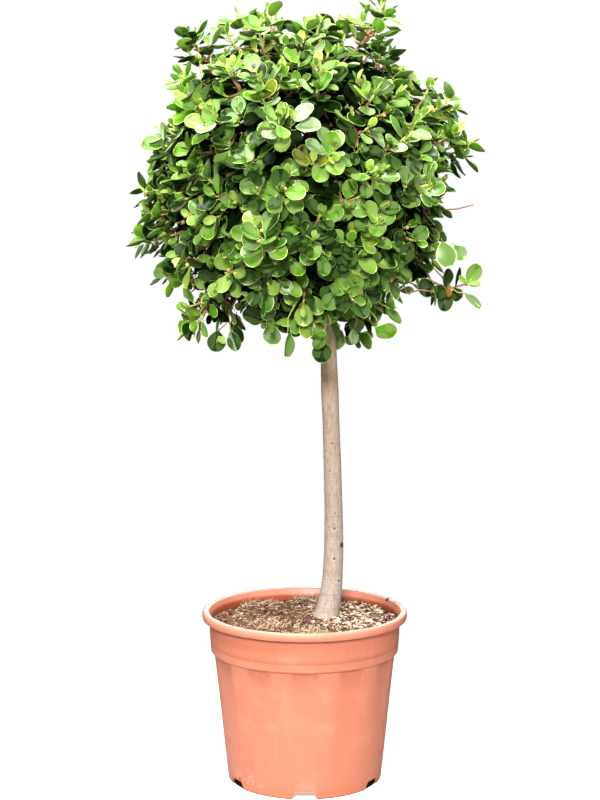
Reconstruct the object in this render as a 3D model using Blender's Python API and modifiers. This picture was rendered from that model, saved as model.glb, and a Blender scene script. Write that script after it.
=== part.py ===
"""A small-leaved ficus grown as a standard: a clipped ball on a bare trunk, in a fluted nursery pot.

The origin is the centre of the pot's flat underside, +Z is up and the plant's front faces -Y.
Every size is in metres. The pot, its soil, the trunk, each bough and each mass of foliage is one object.
"""

from itertools import product
from math import acos, atan2, cos, exp, pi, radians, sin, sqrt
from random import Random

import bmesh
import bpy
from mathutils import Matrix, Vector
from mathutils.bvhtree import BVHTree

GAP = 0.0003  # what touching pieces keep between them

# Pot: a 300 mm nursery pot with a rolled rim, a plain band, shallow flutes and six drain notches
POT_HEIGHT = 0.250
RIM_RADIUS = 0.150
RIM_HEIGHT = 0.012
OPENING_RADIUS = 0.1405
BAND_RADIUS = 0.1397
BAND_FOOT = 0.191  # height of the band's lower edge
BAND_STEP = 0.0036
BAND_ROUNDING = 0.0012
INNER_RADIUS = 0.1369  # inside the band
STEP_FOOT = 0.1886  # height at which the step under the band meets the body
RIM_ROUNDING = 0.0028
WALL = 0.0030
BASE_RADIUS = 0.1127
BASE_ROUNDING = 0.0022
BODY_TAPER = 0.109  # growth of the radius for each metre of height
FLOOR_LIFT = 0.012  # height of the channel under the floor
PAD_RADIUS = 0.062
PAD_SLOPE = 0.004
FLUTE_COUNT = 12
FLUTE_DEPTH = 0.0022
FLUTE_HALF_WIDTH = radians(9.5)
FLUTE_TOP = 0.1865
FLUTE_FOOT = 0.050
NOTCH_COUNT = 6
NOTCH_HEIGHT = 0.0112
NOTCH_WIDTH = 0.037
NOTCH_TOP_WIDTH = 0.026
NOTCH_LENGTH = 0.016
BELOW_FLOOR = 0.002  # how far a cutter runs past the face it opens
RIM_SLOT_WIDTH = 0.0045
RIM_SLOT_LENGTH = 0.009
RIM_SLOT_DEPTH = 0.0045
RIM_SLOT_TURN = radians(28)
POT_STEPS = 48

# Soil: mounded towards the trunk
SOIL_EDGE = 0.2325
SOIL_CREST = 0.2397
SOIL_ROUGHNESS = 0.0016
SOIL_PATCH = 0.026  # radius of the flat patch round the trunk
SOIL_SLOPE = 0.130  # distance over which the surface falls to its edge
SOIL_RINGS = (0.030, 0.060, 0.090, 0.116)
SOIL_STEPS = 32

# Trunk: it bends out of the soil, leans a little back and runs on inside the crown
TRUNK_FOOT = Vector((0.031, 0.0, SOIL_CREST + GAP))
TRUNK_TIP_HEIGHT = 0.800
TRUNK_LEAN = -0.039
FOOT_SWEEP = 0.0185
SWEEP_HEIGHT = 0.056
TRUNK_BOW = 0.007
TRUNK_RADIUS = 0.0122
FOOT_SWELL = 0.0050
SWELL_HEIGHT = 0.10
ROOT_FLARE = 0.0018
FLARE_HEIGHT = 0.014
TIP_TAPER = 0.0032
TAPER_START = 0.600
TRUNK_POINTS = 15
LEVEL_END = 0.004  # length of the upright step that keeps an end level

# Crown: an even ball with a few shoots that have outgrown the last clipping
CROWN_CENTRE = Vector((-0.005, 0.0, 0.872))
CROWN_RADIUS = 0.246
# Outgrown shoots and dents: angle in the front view from +X towards +Z, lean to the back, height, half width
TUFTS = (
    (12, 4, 0.016, 12),
    (50, 0, -0.014, 6),
    (65, -6, 0.043, 8),
    (101, 8, 0.021, 8),
    (128, -6, 0.034, 10),
    (150, 0, -0.028, 9),
    (200, 6, 0.024, 12),
    (232, -14, 0.042, 12),
    (251, 0, -0.028, 7),
    (292, 10, 0.020, 8),
    (323, -10, 0.064, 9),
    (345, 0, -0.010, 8),
)
SIDE_TUFTS = 12
SIDE_TUFT_HEIGHT = 0.020
SIDE_TUFT_WIDTH = 14
SEED = 27

# Masses: one on the crown's top, and two rings of five
RING_COUNT = 5
RINGS = (("upper", 28, 18), ("lower", -32, 54))
RING_SIDES = {
    18: "right",
    90: "back",
    162: "left",
    234: "front_left",
    306: "front_right",
    54: "back_right",
    126: "back_left",
    198: "left",
    270: "front",
    342: "right",
}
HEART_DISTANCE = 0.125  # from the crown's centre to the middle of each mass
CORE_INNER = 0.075
CORE_SHARE = 0.69  # of the crown's reach
CORE_MARGIN = 0.003
CORE_STEP = 0.001
SPACE_MARGIN = 0.0012
TRUNK_ROOM = 0.040

# Boughs
BOUGH_FOOT_RADIUS = 0.0062
BOUGH_TIP_RADIUS = 0.0040
LOWER_FORK = 0.668
UPPER_FORK = 0.726
FORK_STEP = 0.011
BOUGH_POINTS = 6
BOUGH_BEND = 0.003
LEADER_BEND = Vector((-0.003, 0.0, 0.090))  # where the leader on the trunk's tip heads first
STEM_OUTSIDE = 0.010  # how much of a mass's stem shows before it enters the core
STEM_WIDTHS = (1.0, 0.95, 0.9, 0.8)

# Twigs and leaves. Each leaf stands for a few of the real ones, so it is larger than they are
TIP_COUNT = 116
TIP_JITTER = 0.12
SHOOT_ROOM = radians(9)
SHOOT_HEIGHT = 0.012  # a tuft over this height gets a twig of its own
TWIG_FOOT_RADIUS = 0.0038
TWIG_TIP_RADIUS = 0.0022
LEAF_LENGTH = 0.056
LEAF_WIDTH = 0.041
LEAF_THICKNESS = 0.0024
LEAF_BELLY = 0.60  # where along the leaf it is widest
LEAF_CUP = 0.10
LEAF_ROOT = 0.0006
LEAVES_PER_TWIG = 6
LEAF_SPACING = 0.0075
LEAF_LENGTHS = (0.88, 1.04)  # shares of LEAF_LENGTH
TWIG_START = 0.3  # where a twig leaves the way from the mass's middle to its tip
HUB_DEPTH = 0.88  # how far a rosette's middle lies under the crown's outline, in leaf lengths
EASES = (1.0, 0.8, 0.6, 0.4, 0.2)  # shares of a leaf's tilt that are tried in turn
SWINGS = (0, 24, -24)  # turns round the twig that are tried in turn
GOLDEN_TURN = radians(137.5)
TERMINAL_TILT = (4, 18)
SIDE_TILT = (48, 68)
OVERSHOOT = 0.003
WALL_ROOM = 0.012  # between a rosette's middle and the next mass's space
SHRINKS = (1.0, 0.82)  # shares of a leaf's length that are tried in turn
LIMB_CLEARANCE = 0.003

TERRACOTTA = (0.72, 0.27, 0.15)
SOIL_BROWN = (0.23, 0.16, 0.11)
BARK_GREY = (0.52, 0.46, 0.38)
LEAF_GREEN = (0.16, 0.27, 0.06)


# ---------------------------------------------------------------- scene helpers


def clear_scene():
    for obj in list(bpy.data.objects):
        bpy.data.objects.remove(obj)
    for collection in list(bpy.data.collections):
        bpy.data.collections.remove(collection)


def new_collection(name):
    collection = bpy.data.collections.new(name)
    bpy.context.scene.collection.children.link(collection)
    return collection


def finish_material(name, colour, roughness):
    material = bpy.data.materials.new(name)
    material.use_nodes = True
    shader = material.node_tree.nodes["Principled BSDF"]
    shader.inputs["Base Color"].default_value = (*colour, 1.0)
    shader.inputs["Roughness"].default_value = roughness
    shader.inputs["Metallic"].default_value = 0.0
    material.diffuse_color = (*colour, 1.0)
    return material


def object_from_bmesh(name, bm, collection, material=None):
    mesh = bpy.data.meshes.new(name)
    bm.to_mesh(mesh)
    bm.free()
    obj = bpy.data.objects.new(name, mesh)
    collection.objects.link(obj)
    if material:
        mesh.materials.append(material)
    return obj


def bake(obj, weld=True):
    """Replace an object's mesh, or a curve object, by the mesh that its modifiers give."""
    bpy.context.view_layer.update()
    graph = bpy.context.evaluated_depsgraph_get()
    mesh = bpy.data.meshes.new_from_object(obj.evaluated_get(graph))
    if weld:
        bm = bmesh.new()
        bm.from_mesh(mesh)
        bmesh.ops.remove_doubles(bm, verts=bm.verts, dist=1e-6)
        bm.to_mesh(mesh)
        bm.free()
    baked = bpy.data.objects.new(obj.name, mesh)
    baked.matrix_world = obj.matrix_world
    for collection in obj.users_collection:
        collection.objects.link(baked)
    name = obj.name
    bpy.data.objects.remove(obj)
    baked.name = name
    return baked


def smooth(obj, angle=40):
    obj.data.shade_smooth()
    obj.data.set_sharp_from_angle(angle=radians(angle))


def turned(name, profile, steps, collection, material):
    """A profile of (radius, height) points turned about Z. It runs down the outer side."""
    bm = bmesh.new()
    points = [bm.verts.new((radius, 0.0, height)) for radius, height in profile]
    for first, second in zip(points, points[1:]):
        bm.edges.new((first, second))
    obj = object_from_bmesh(name, bm, collection, material)
    screw = obj.modifiers.new("turn", "SCREW")
    screw.steps = screw.render_steps = steps
    screw.use_merge_vertices = True
    screw.merge_threshold = 0.00001
    return bake(obj)


def limb(name, points, widths, collection, material, resolution):
    """A round limb through the points, with a radius at each of them."""
    curve = bpy.data.curves.new(name, "CURVE")
    curve.dimensions = "3D"
    curve.bevel_depth = 1.0
    curve.bevel_resolution = resolution
    curve.use_fill_caps = True
    spline = curve.splines.new("POLY")
    spline.points.add(len(points) - 1)
    for knot, point, width in zip(spline.points, points, widths):
        knot.co = (*point, 1.0)
        knot.radius = width
    obj = bpy.data.objects.new(name, curve)
    collection.objects.link(obj)
    obj = bake(obj)
    if material:
        obj.data.materials.append(material)
    return obj


def cut(obj, cutters, solver="EXACT"):
    boolean = obj.modifiers.new("cut", "BOOLEAN")
    boolean.operation = "DIFFERENCE"
    boolean.operand_type = "COLLECTION"
    boolean.collection = cutters
    boolean.solver = solver
    return bake(obj)


# ---------------------------------------------------------------- pot and soil


def body_radius(height):
    return BASE_RADIUS + BODY_TAPER * height


def pot_profile():
    """From the middle of the floor up the inside, over the rim, down the outside and under the floor."""
    rim_foot = POT_HEIGHT - RIM_HEIGHT
    floor_top = FLOOR_LIFT + WALL
    foot = BASE_RADIUS - BASE_ROUNDING
    band_foot_radius = body_radius(BAND_FOOT) + BAND_STEP
    return (
        (0.0, WALL),
        (PAD_RADIUS - PAD_SLOPE, WALL),
        (PAD_RADIUS + PAD_SLOPE, floor_top),
        (body_radius(floor_top) - WALL, floor_top),
        (body_radius(STEP_FOOT) - WALL, STEP_FOOT),
        (INNER_RADIUS, BAND_FOOT + PAD_SLOPE),
        (INNER_RADIUS, rim_foot),
        (OPENING_RADIUS, POT_HEIGHT - RIM_ROUNDING * 0.7),
        (OPENING_RADIUS + RIM_ROUNDING * 0.9, POT_HEIGHT),
        (RIM_RADIUS - RIM_ROUNDING, POT_HEIGHT - RIM_ROUNDING * 0.2),
        (RIM_RADIUS - RIM_ROUNDING * 0.15, POT_HEIGHT - RIM_ROUNDING),
        (RIM_RADIUS, POT_HEIGHT - RIM_HEIGHT * 0.55),
        (RIM_RADIUS - RIM_HEIGHT * 0.1, rim_foot),
        (BAND_RADIUS, rim_foot),
        (band_foot_radius, BAND_FOOT + BAND_ROUNDING),
        (band_foot_radius - BAND_ROUNDING, BAND_FOOT),
        (body_radius(STEP_FOOT), STEP_FOOT),
        (body_radius(FLUTE_TOP), FLUTE_TOP),
        (body_radius(FLUTE_FOOT), FLUTE_FOOT),
        (body_radius(BASE_ROUNDING * 2.5), BASE_ROUNDING * 2.5),
        (foot, 0.0),
        (foot - WALL, 0.0),
        (foot - WALL, FLOOR_LIFT),
        (PAD_RADIUS + PAD_SLOPE, FLOOR_LIFT),
        (PAD_RADIUS, 0.0),
        (0.0, 0.0),
    )


def press_flutes(pot):
    """Hollow the outside of the body in FLUTE_COUNT shallow flutes that fade out towards the foot."""
    period = 2 * pi / FLUTE_COUNT
    front = -pi / 2
    for vertex in pot.data.vertices:
        radius = sqrt(vertex.co.x**2 + vertex.co.y**2)
        on_top = abs(vertex.co.z - FLUTE_TOP) < 1e-5 and radius > body_radius(FLUTE_TOP) - 1e-4
        if not on_top:
            continue
        turn = (atan2(vertex.co.y, vertex.co.x) - front + period / 2) % period - period / 2
        hollow = max(0.0, 1 - (turn / FLUTE_HALF_WIDTH) ** 2)
        scale = 1 - FLUTE_DEPTH * hollow / radius
        vertex.co.x *= scale
        vertex.co.y *= scale


def hide_cutter(cutter):
    cutter.hide_render = True
    cutter.display_type = "WIRE"


def notch_cutter(cutters):
    """Tapered blocks through the foot ring, all in one mesh."""
    bm = bmesh.new()
    spread = (NOTCH_WIDTH - NOTCH_TOP_WIDTH) / NOTCH_HEIGHT
    for index in range(NOTCH_COUNT):
        block = bmesh.ops.create_cube(bm, size=1.0)["verts"]
        for vertex in block:
            height = NOTCH_HEIGHT if vertex.co.z > 0 else -BELOW_FLOOR
            width = NOTCH_WIDTH - spread * height
            vertex.co = Vector((BASE_RADIUS - WALL + vertex.co.x * NOTCH_LENGTH, vertex.co.y * width, height))
        turn = Matrix.Rotation(2 * pi * index / NOTCH_COUNT - pi / 2, 3, "Z")
        bmesh.ops.rotate(bm, verts=block, cent=(0, 0, 0), matrix=turn)
    hide_cutter(object_from_bmesh("notches", bm, cutters))


def rim_slot_cutter(cutters):
    """A short split in the rim's inner edge."""
    bm = bmesh.new()
    bmesh.ops.create_cube(bm, size=1.0)
    middle = Vector((OPENING_RADIUS, 0.0, POT_HEIGHT + (BELOW_FLOOR - RIM_SLOT_DEPTH) / 2))
    size = Vector((RIM_SLOT_LENGTH, RIM_SLOT_WIDTH, RIM_SLOT_DEPTH + BELOW_FLOOR))
    for vertex in bm.verts:
        vertex.co = middle + vertex.co * size
    bmesh.ops.rotate(bm, verts=bm.verts, cent=(0, 0, 0), matrix=Matrix.Rotation(RIM_SLOT_TURN, 3, "Z"))
    hide_cutter(object_from_bmesh("rim_slot", bm, cutters))


def build_pot(parts, cutters):
    material = finish_material("terracotta_plastic", TERRACOTTA, 0.5)
    pot = turned("pot", pot_profile(), POT_STEPS, parts, material)
    press_flutes(pot)
    notch_cutter(cutters)
    rim_slot_cutter(cutters)
    pot = cut(pot, cutters)
    smooth(pot)
    return pot


def soil_height(x, y):
    """The soil's surface: highest in a flat patch round the trunk, and uneven elsewhere."""
    from_trunk = sqrt((x - TRUNK_FOOT.x) ** 2 + (y - TRUNK_FOOT.y) ** 2)
    fall = min(1.0, max(0.0, (from_trunk - SOIL_PATCH) / SOIL_SLOPE))
    uneven = sin(61 * x + 1.3) * cos(53 * y - 0.4) + 0.6 * sin(117 * x - 83 * y)
    rough = SOIL_ROUGHNESS * uneven * min(1.0, fall * 6)
    return min(SOIL_CREST, SOIL_CREST - (SOIL_CREST - SOIL_EDGE) * fall + rough)


def build_soil(parts):
    """It fills the pot to just under the rim, one gap from the wall and the floor."""
    material = finish_material("potting_mix", SOIL_BROWN, 0.95)
    floor_top = FLOOR_LIFT + WALL + GAP
    wall_gap = WALL + GAP * 2
    edge = INNER_RADIUS - GAP * 2
    rings = tuple((radius, SOIL_CREST) for radius in (0.0, *SOIL_RINGS))
    profile = (
        *rings,
        (edge, SOIL_EDGE),
        (edge, BAND_FOOT + PAD_SLOPE + 0.001),
        (body_radius(STEP_FOOT) - wall_gap, STEP_FOOT),
        (body_radius(floor_top) - wall_gap, floor_top),
        (PAD_RADIUS + PAD_SLOPE - GAP * 2, floor_top),
        (PAD_RADIUS - PAD_SLOPE - GAP * 2, WALL + GAP),
        (0.0, WALL + GAP),
    )
    soil = turned("potting_soil", profile, SOIL_STEPS, parts, material)
    for vertex in soil.data.vertices:
        if vertex.co.z > SOIL_EDGE - 1e-4:
            vertex.co.z = soil_height(vertex.co.x, vertex.co.y)
    smooth(soil, 60)
    return soil


# ---------------------------------------------------------------- trunk and boughs


def trunk_axis(height):
    """The middle of the trunk at a height."""
    rise = height - TRUNK_FOOT.z
    sweep = FOOT_SWEEP * (1 - exp(-rise / SWEEP_HEIGHT))
    bow = TRUNK_BOW * sin(pi * rise / (TRUNK_TIP_HEIGHT - TRUNK_FOOT.z))
    return Vector((TRUNK_FOOT.x + sweep + TRUNK_LEAN * rise, TRUNK_FOOT.y + bow, height))


def trunk_radius(height):
    rise = height - TRUNK_FOOT.z
    taper = TIP_TAPER * max(0.0, (height - TAPER_START) / (TRUNK_TIP_HEIGHT - TAPER_START))
    swell = FOOT_SWELL * exp(-rise / SWELL_HEIGHT)
    return TRUNK_RADIUS + swell + ROOT_FLARE * exp(-rise / FLARE_HEIGHT) - taper


def trunk_points():
    """Centres and radii from the flat foot to the tip, closer together where the trunk bends."""
    span = TRUNK_TIP_HEIGHT - TRUNK_FOOT.z
    heights = [TRUNK_FOOT.z + span * (index / (TRUNK_POINTS - 1)) ** 1.35 for index in range(TRUNK_POINTS)]
    points = [trunk_axis(height) for height in heights]
    widths = [trunk_radius(height) for height in heights]
    # An upright first and last step keep both ends level.
    upright = points[0] + Vector((0, 0, LEVEL_END))
    points.insert(1, upright)
    widths.insert(1, trunk_radius(upright.z))
    upright = points[-1] - Vector((0, 0, LEVEL_END))
    points.insert(-1, upright)
    widths.insert(-1, widths[-1])
    return points, widths


def build_trunk(parts, cutters, material):
    points, widths = trunk_points()
    trunk = limb("trunk", points, widths, parts, material, 4)
    smooth(trunk)
    room = limb("trunk_room", points, [width + GAP for width in widths], cutters, material, 4)
    hide_cutter(room)
    return trunk


class Mass:
    """One mass of foliage: its space in the crown, and the bough that carries it."""

    def __init__(self, label, azimuth, elevation, fork):
        flat = cos(radians(elevation))
        self.label = label
        self.direction = Vector((flat * cos(radians(azimuth)), flat * sin(radians(azimuth)), sin(radians(elevation))))
        self.heart = CROWN_CENTRE + HEART_DISTANCE * self.direction
        self.fork = fork
        self.beside_trunk = elevation < 0
        self.outward = Vector((cos(radians(azimuth)), sin(radians(azimuth)), 0.0))
        self.walls = []

    def set_walls(self, masses):
        """Half spaces (point, normal) that shut the space off from the other masses."""
        for other in masses:
            if other is self:
                continue
            normal = (self.direction - other.direction).normalized()
            self.walls.append((CROWN_CENTRE, normal))

    def depth(self, point):
        """How far inside the space a point is."""
        return min((point - origin).dot(normal) for origin, normal in self.walls)

    def core_depth(self, point):
        """How far inside the core's flat sides a point is."""
        depth = self.depth(point) - CORE_MARGIN
        depth = min(depth, (point - CROWN_CENTRE).dot(self.direction) - CORE_INNER)
        if self.beside_trunk:
            beside = point - trunk_axis(min(point.z, TRUNK_TIP_HEIGHT))
            depth = min(depth, beside.dot(self.outward) - TRUNK_ROOM)
        return depth


def make_masses():
    masses = [Mass("top", 0, 90, TRUNK_TIP_HEIGHT)]
    for ring, elevation, first_turn in RINGS:
        fork = UPPER_FORK if ring == "upper" else LOWER_FORK
        for index in range(RING_COUNT):
            turn = (first_turn + index * 360 // RING_COUNT) % 360
            order = (index * 2) % RING_COUNT
            masses.append(Mass(f"{ring}_{RING_SIDES[turn]}", turn, elevation, fork + order * FORK_STEP))
    for mass in masses:
        mass.set_walls(masses)
    return masses


def bough_path(mass, share):
    """A point on the way from the trunk to the middle of the mass, which bends upwards."""
    start = trunk_axis(mass.fork)
    if mass.label == "top":
        start = start + Vector((0, 0, GAP))
    middle = (start + mass.heart) / 2 - BOUGH_BEND * mass.outward + Vector((0, 0, BOUGH_BEND))
    if mass.label == "top":
        middle = start + LEADER_BEND
    return start * (1 - share) ** 2 + middle * 2 * share * (1 - share) + mass.heart * share**2


def bough_end(mass):
    """The share of the path at which the bough hands over to the stem inside the mass."""
    share = 0.2
    while mass.core_depth(bough_path(mass, share)) < -STEM_OUTSIDE:
        share += 0.005
    return share


def bough_radius(mass, share, end):
    foot = TRUNK_RADIUS - TIP_TAPER - GAP if mass.label == "top" else BOUGH_FOOT_RADIUS
    return foot + (BOUGH_TIP_RADIUS - foot) * share / end


def bough_points(mass):
    """Centres and radii from the trunk to the tip."""
    end = bough_end(mass)
    shares = [end * index / (BOUGH_POINTS - 1) for index in range(BOUGH_POINTS)]
    points = [bough_path(mass, share) for share in shares]
    widths = [bough_radius(mass, share, end) for share in shares]
    if mass.label == "top":
        # The leader's foot lies level on the trunk's tip.
        points.insert(1, points[0] + Vector((0, 0, LEVEL_END / 2)))
        widths.insert(1, widths[0])
    return points, widths


def build_bough(mass, parts, cutters, material):
    points, widths = bough_points(mass)
    bough = limb(f"bough_{mass.label}", points, widths, parts, material, 1)
    if mass.label != "top":
        bough = cut(bough, cutters)
    smooth(bough)
    return bough


# ---------------------------------------------------------------- crown


def make_tufts():
    """Outgrown shoots and dents as (direction, height, half width)."""
    tufts = []
    for turn, lean, height, width in TUFTS:
        flat = cos(radians(lean))
        direction = Vector((flat * cos(radians(turn)), sin(radians(lean)), flat * sin(radians(turn))))
        tufts.append((direction, height, radians(width)))
    draw = Random(SEED)
    for index in range(SIDE_TUFTS):
        side = 1 if index % 2 else -1
        turn = draw.uniform(0, 2 * pi)
        lean = side * radians(draw.uniform(38, 80))
        direction = Vector((cos(lean) * cos(turn), sin(lean), cos(lean) * sin(turn)))
        height = SIDE_TUFT_HEIGHT * draw.uniform(-0.9, 1.0)
        tufts.append((direction, height, radians(SIDE_TUFT_WIDTH * draw.uniform(0.7, 1.2))))
    return tufts


def reach(direction, tufts):
    """How far the foliage stands from the crown's centre in a direction."""
    swell = 0.0
    for tuft, height, width in tufts:
        turn = acos(max(-1.0, min(1.0, direction.dot(tuft))))
        swell += height * exp(-((turn / width) ** 2))
    return CROWN_RADIUS + swell


def build_core(mass, tufts, collection):
    """A faceted body that fills the middle of the mass's space."""
    bm = bmesh.new()
    bmesh.ops.create_icosphere(bm, subdivisions=2, radius=1.0)
    for vertex in bm.verts:
        ray = vertex.co.normalized()
        length = CORE_STEP
        while length < CROWN_RADIUS:
            point = mass.heart + ray * length
            away = point - CROWN_CENTRE
            limit = CORE_SHARE * reach(away.normalized(), tufts)
            if mass.core_depth(point) < 0 or away.length > limit:
                break
            length += CORE_STEP
        vertex.co = mass.heart + ray * (length - CORE_STEP)
    tree = BVHTree.FromBMesh(bm)
    object_from_bmesh("core", bm, collection)
    return tree


def build_stem(mass, collection, material):
    """The bough's continuation, from a gap past its tip to the middle of the mass."""
    end = bough_end(mass)
    first = bough_path(mass, end)
    second = bough_path(mass, end + 0.01)
    start = first + (second - first).normalized() * GAP
    points = [start] + [bough_path(mass, end + (1 - end) * step / 3) for step in (1, 2, 3)]
    widths = [BOUGH_TIP_RADIUS * share for share in STEM_WIDTHS]
    return limb(f"foliage_{mass.label}", points, widths, collection, material, 1)


def tip_directions(tufts):
    """Directions of the twigs' tips, spread evenly over the crown, with one in each outgrown shoot."""
    draw = Random(SEED + 1)
    found = [direction for direction, height, width in tufts if height > SHOOT_HEIGHT]
    golden = pi * (3 - sqrt(5))
    for index in range(TIP_COUNT):
        height = 1 - 2 * (index + 0.5) / TIP_COUNT
        flat = sqrt(1 - height * height)
        turn = golden * index + draw.uniform(-TIP_JITTER, TIP_JITTER)
        direction = Vector((flat * cos(turn), flat * sin(turn), height))
        if all(direction.angle(other) > SHOOT_ROOM for other in found):
            found.append(direction)
    return found


def room_tree(points, widths, collection):
    """The space a limb needs, as a tree for crossing tests."""
    room = limb("room", points, [width + LIMB_CLEARANCE for width in widths], collection, None, 1)
    corners = [vertex.co.copy() for vertex in room.data.vertices]
    tree = BVHTree.FromPolygons(corners, [tuple(face.vertices) for face in room.data.polygons])
    bpy.data.objects.remove(room)
    return tree


def limb_rooms(masses, collection):
    rooms = [room_tree(*trunk_points(), collection)]
    for mass in masses:
        rooms.append(room_tree(*bough_points(mass), collection))
    return rooms


def leaf_points(root, axis, normal, length):
    """The six corners of a cupped, obovate leaf: root, two sides, tip, upper and lower middle."""
    side = normal.cross(axis).normalized()
    up = axis.cross(side).normalized()
    belly = root + axis * length * LEAF_BELLY
    half = LEAF_WIDTH * length / LEAF_LENGTH / 2
    sag = up * length * LEAF_CUP
    tip = root + axis * length - sag * 0.6
    middle = belly + sag * 0.35
    thick = up * LEAF_THICKNESS / 2
    return root, belly + side * half, belly - side * half, tip, middle + thick, middle - thick


def build_leaf(corners, collection):
    root, left, right, tip, top, bottom = corners
    bm = bmesh.new()
    verts = [bm.verts.new(corner) for corner in (root, left, tip, right, top, bottom)]
    ring, upper, lower = verts[:4], verts[4], verts[5]
    for index in range(4):
        first, second = ring[index], ring[(index + 1) % 4]
        bm.faces.new((first, second, lower))
        bm.faces.new((second, first, upper))
    bmesh.ops.recalc_face_normals(bm, faces=bm.faces)
    tree = BVHTree.FromBMesh(bm)
    return tree, object_from_bmesh("leaf", bm, collection)


def build_twig(start, end, collection):
    """A three-sided tapering twig."""
    bm = bmesh.new()
    bmesh.ops.create_cone(
        bm,
        cap_ends=True,
        segments=3,
        radius1=TWIG_FOOT_RADIUS,
        radius2=TWIG_TIP_RADIUS,
        depth=(end - start).length,
    )
    turn = (end - start).to_track_quat("Z", "Y").to_matrix().to_4x4()
    bmesh.ops.transform(bm, matrix=Matrix.Translation((start + end) / 2) @ turn, verts=bm.verts)
    tree = BVHTree.FromBMesh(bm)
    return tree, object_from_bmesh("twig", bm, collection)


def in_space(points, mass, tufts):
    """Whether the points stay in the mass's space and inside the crown's outline."""
    for point in points:
        away = point - CROWN_CENTRE
        if mass.depth(point) < SPACE_MARGIN or away.length > reach(away.normalized(), tufts) + OVERSHOOT:
            return False
    return True


def crosses(tree, others):
    return any(tree.overlap(other) for other in others)


class Rosette:
    """One twig out of the core, and where its leaves stand."""

    def __init__(self, mass, direction, tufts, draw):
        self.end = CROWN_CENTRE + direction * (reach(direction, tufts) - LEAF_LENGTH * HUB_DEPTH)
        for origin, normal in mass.walls:
            self.end += normal * max(0.0, WALL_ROOM - (self.end - origin).dot(normal))
        self.start = mass.heart.lerp(self.end, TWIG_START)
        self.axis = (self.end - self.start).normalized()
        self.sideways = self.axis.orthogonal().normalized()
        self.first_turn = draw.uniform(0, 2 * pi)

    def leaf(self, index, ease, swing, tilt, length):
        """The corners of a leaf: the first ends the twig, the others follow down it by the golden angle."""
        turn = self.first_turn + index * GOLDEN_TURN + radians(swing)
        spoke = Matrix.Rotation(turn, 3, self.axis) @ self.sideways
        node = self.end - self.axis * LEAF_SPACING * index
        way = (self.axis * cos(tilt * ease) + spoke * sin(tilt * ease)).normalized()
        face = (self.axis * sin(tilt * ease) - spoke * cos(tilt * ease)).normalized()
        return leaf_points(node - way * LEAF_ROOT, way, face, length)


def grow_rosette(rosette, mass, tufts, draw, standing, rooms, collection):
    """Grow the twig's leaves one by one, each where it crosses nothing that stands there already."""
    grown = 0
    own_twig, twig = build_twig(rosette.start, rosette.end, collection)
    if crosses(own_twig, rooms):
        bpy.data.objects.remove(twig)
        return grown
    for index in range(LEAVES_PER_TWIG):
        tilt = radians(draw.uniform(*(TERMINAL_TILT if index == 0 else SIDE_TILT)))
        length = LEAF_LENGTH * draw.uniform(*LEAF_LENGTHS)
        for shrink, ease, swing in product(SHRINKS, EASES, SWINGS):
            corners = rosette.leaf(index, ease, swing, tilt, length * shrink)
            if not in_space(corners[1:], mass, tufts):
                continue
            tree, leaf = build_leaf(corners, collection)
            if crosses(tree, standing) or crosses(tree, rooms):
                bpy.data.objects.remove(leaf)
                continue
            standing.append(tree)
            grown += 1
            break
    standing.append(own_twig)
    return grown


def signed_volume(faces):
    total = 0.0
    for face in faces:
        a, b, c = (vertex.co for vertex in face.verts)
        total += a.dot(b.cross(c)) / 6
    return total


def keep_main_body(obj):
    """Drop loose scraps and fill sealed hollows: only the outer skin of the largest body stays."""
    bm = bmesh.new()
    bm.from_mesh(obj.data)
    bmesh.ops.triangulate(bm, faces=bm.faces)
    left = set(bm.faces)
    skins = []
    while left:
        front = [left.pop()]
        skin = list(front)
        while front:
            for edge in front.pop().edges:
                for face in edge.link_faces:
                    if face in left:
                        left.remove(face)
                        front.append(face)
                        skin.append(face)
        skins.append((signed_volume(skin), skin))
    skins.sort(key=lambda item: item[0])
    for volume, skin in skins[:-1]:
        bmesh.ops.delete(bm, geom=skin, context="FACES")
    bm.to_mesh(obj.data)
    bm.free()


def join_mass(obj, pieces):
    """One Boolean union of the stem with everything in the collection, which is then removed."""
    for piece in pieces.objects:
        piece.hide_render = True
    union = obj.modifiers.new("join", "BOOLEAN")
    union.operation = "UNION"
    union.operand_type = "COLLECTION"
    union.collection = pieces
    union.solver = "MANIFOLD"
    obj = bake(obj, weld=False)
    for piece in list(pieces.objects):
        bpy.data.objects.remove(piece)
    keep_main_body(obj)
    return obj


def build_mass(mass, directions, tufts, rooms, parts, scrap, bark, leaf):
    draw = Random(f"{SEED} {mass.label}")
    foliage = build_stem(mass, parts, bark)
    standing = [build_core(mass, tufts, scrap)]
    if crosses(standing[0], rooms):
        print("core crosses a limb:", mass.label)
    grown = 0
    for direction in directions:
        if mass.depth(CROWN_CENTRE + direction) > 0:
            rosette = Rosette(mass, direction, tufts, draw)
            grown += grow_rosette(rosette, mass, tufts, draw, standing, rooms, scrap)
    foliage = join_mass(foliage, scrap)
    foliage.data.materials.clear()
    foliage.data.materials.append(leaf)
    foliage.data.shade_flat()
    return grown


def main():
    clear_scene()
    parts = new_collection("ficus_standard")
    pot_cutters = new_collection("pot_cutters")
    limb_cutters = new_collection("limb_cutters")
    scrap = new_collection("leaves_to_join")
    bark = finish_material("pale_bark", BARK_GREY, 0.8)
    leaf = finish_material("leaf_green", LEAF_GREEN, 0.4)
    build_pot(parts, pot_cutters)
    build_soil(parts)
    build_trunk(parts, limb_cutters, bark)
    masses = make_masses()
    for mass in masses:
        build_bough(mass, parts, limb_cutters, bark)
    tufts = make_tufts()
    directions = tip_directions(tufts)
    rooms = limb_rooms(masses, scrap)
    leaves = 0
    for mass in masses:
        leaves += build_mass(mass, directions, tufts, rooms, parts, scrap, bark, leaf)
    print("leaves:", leaves)


main()
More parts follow.
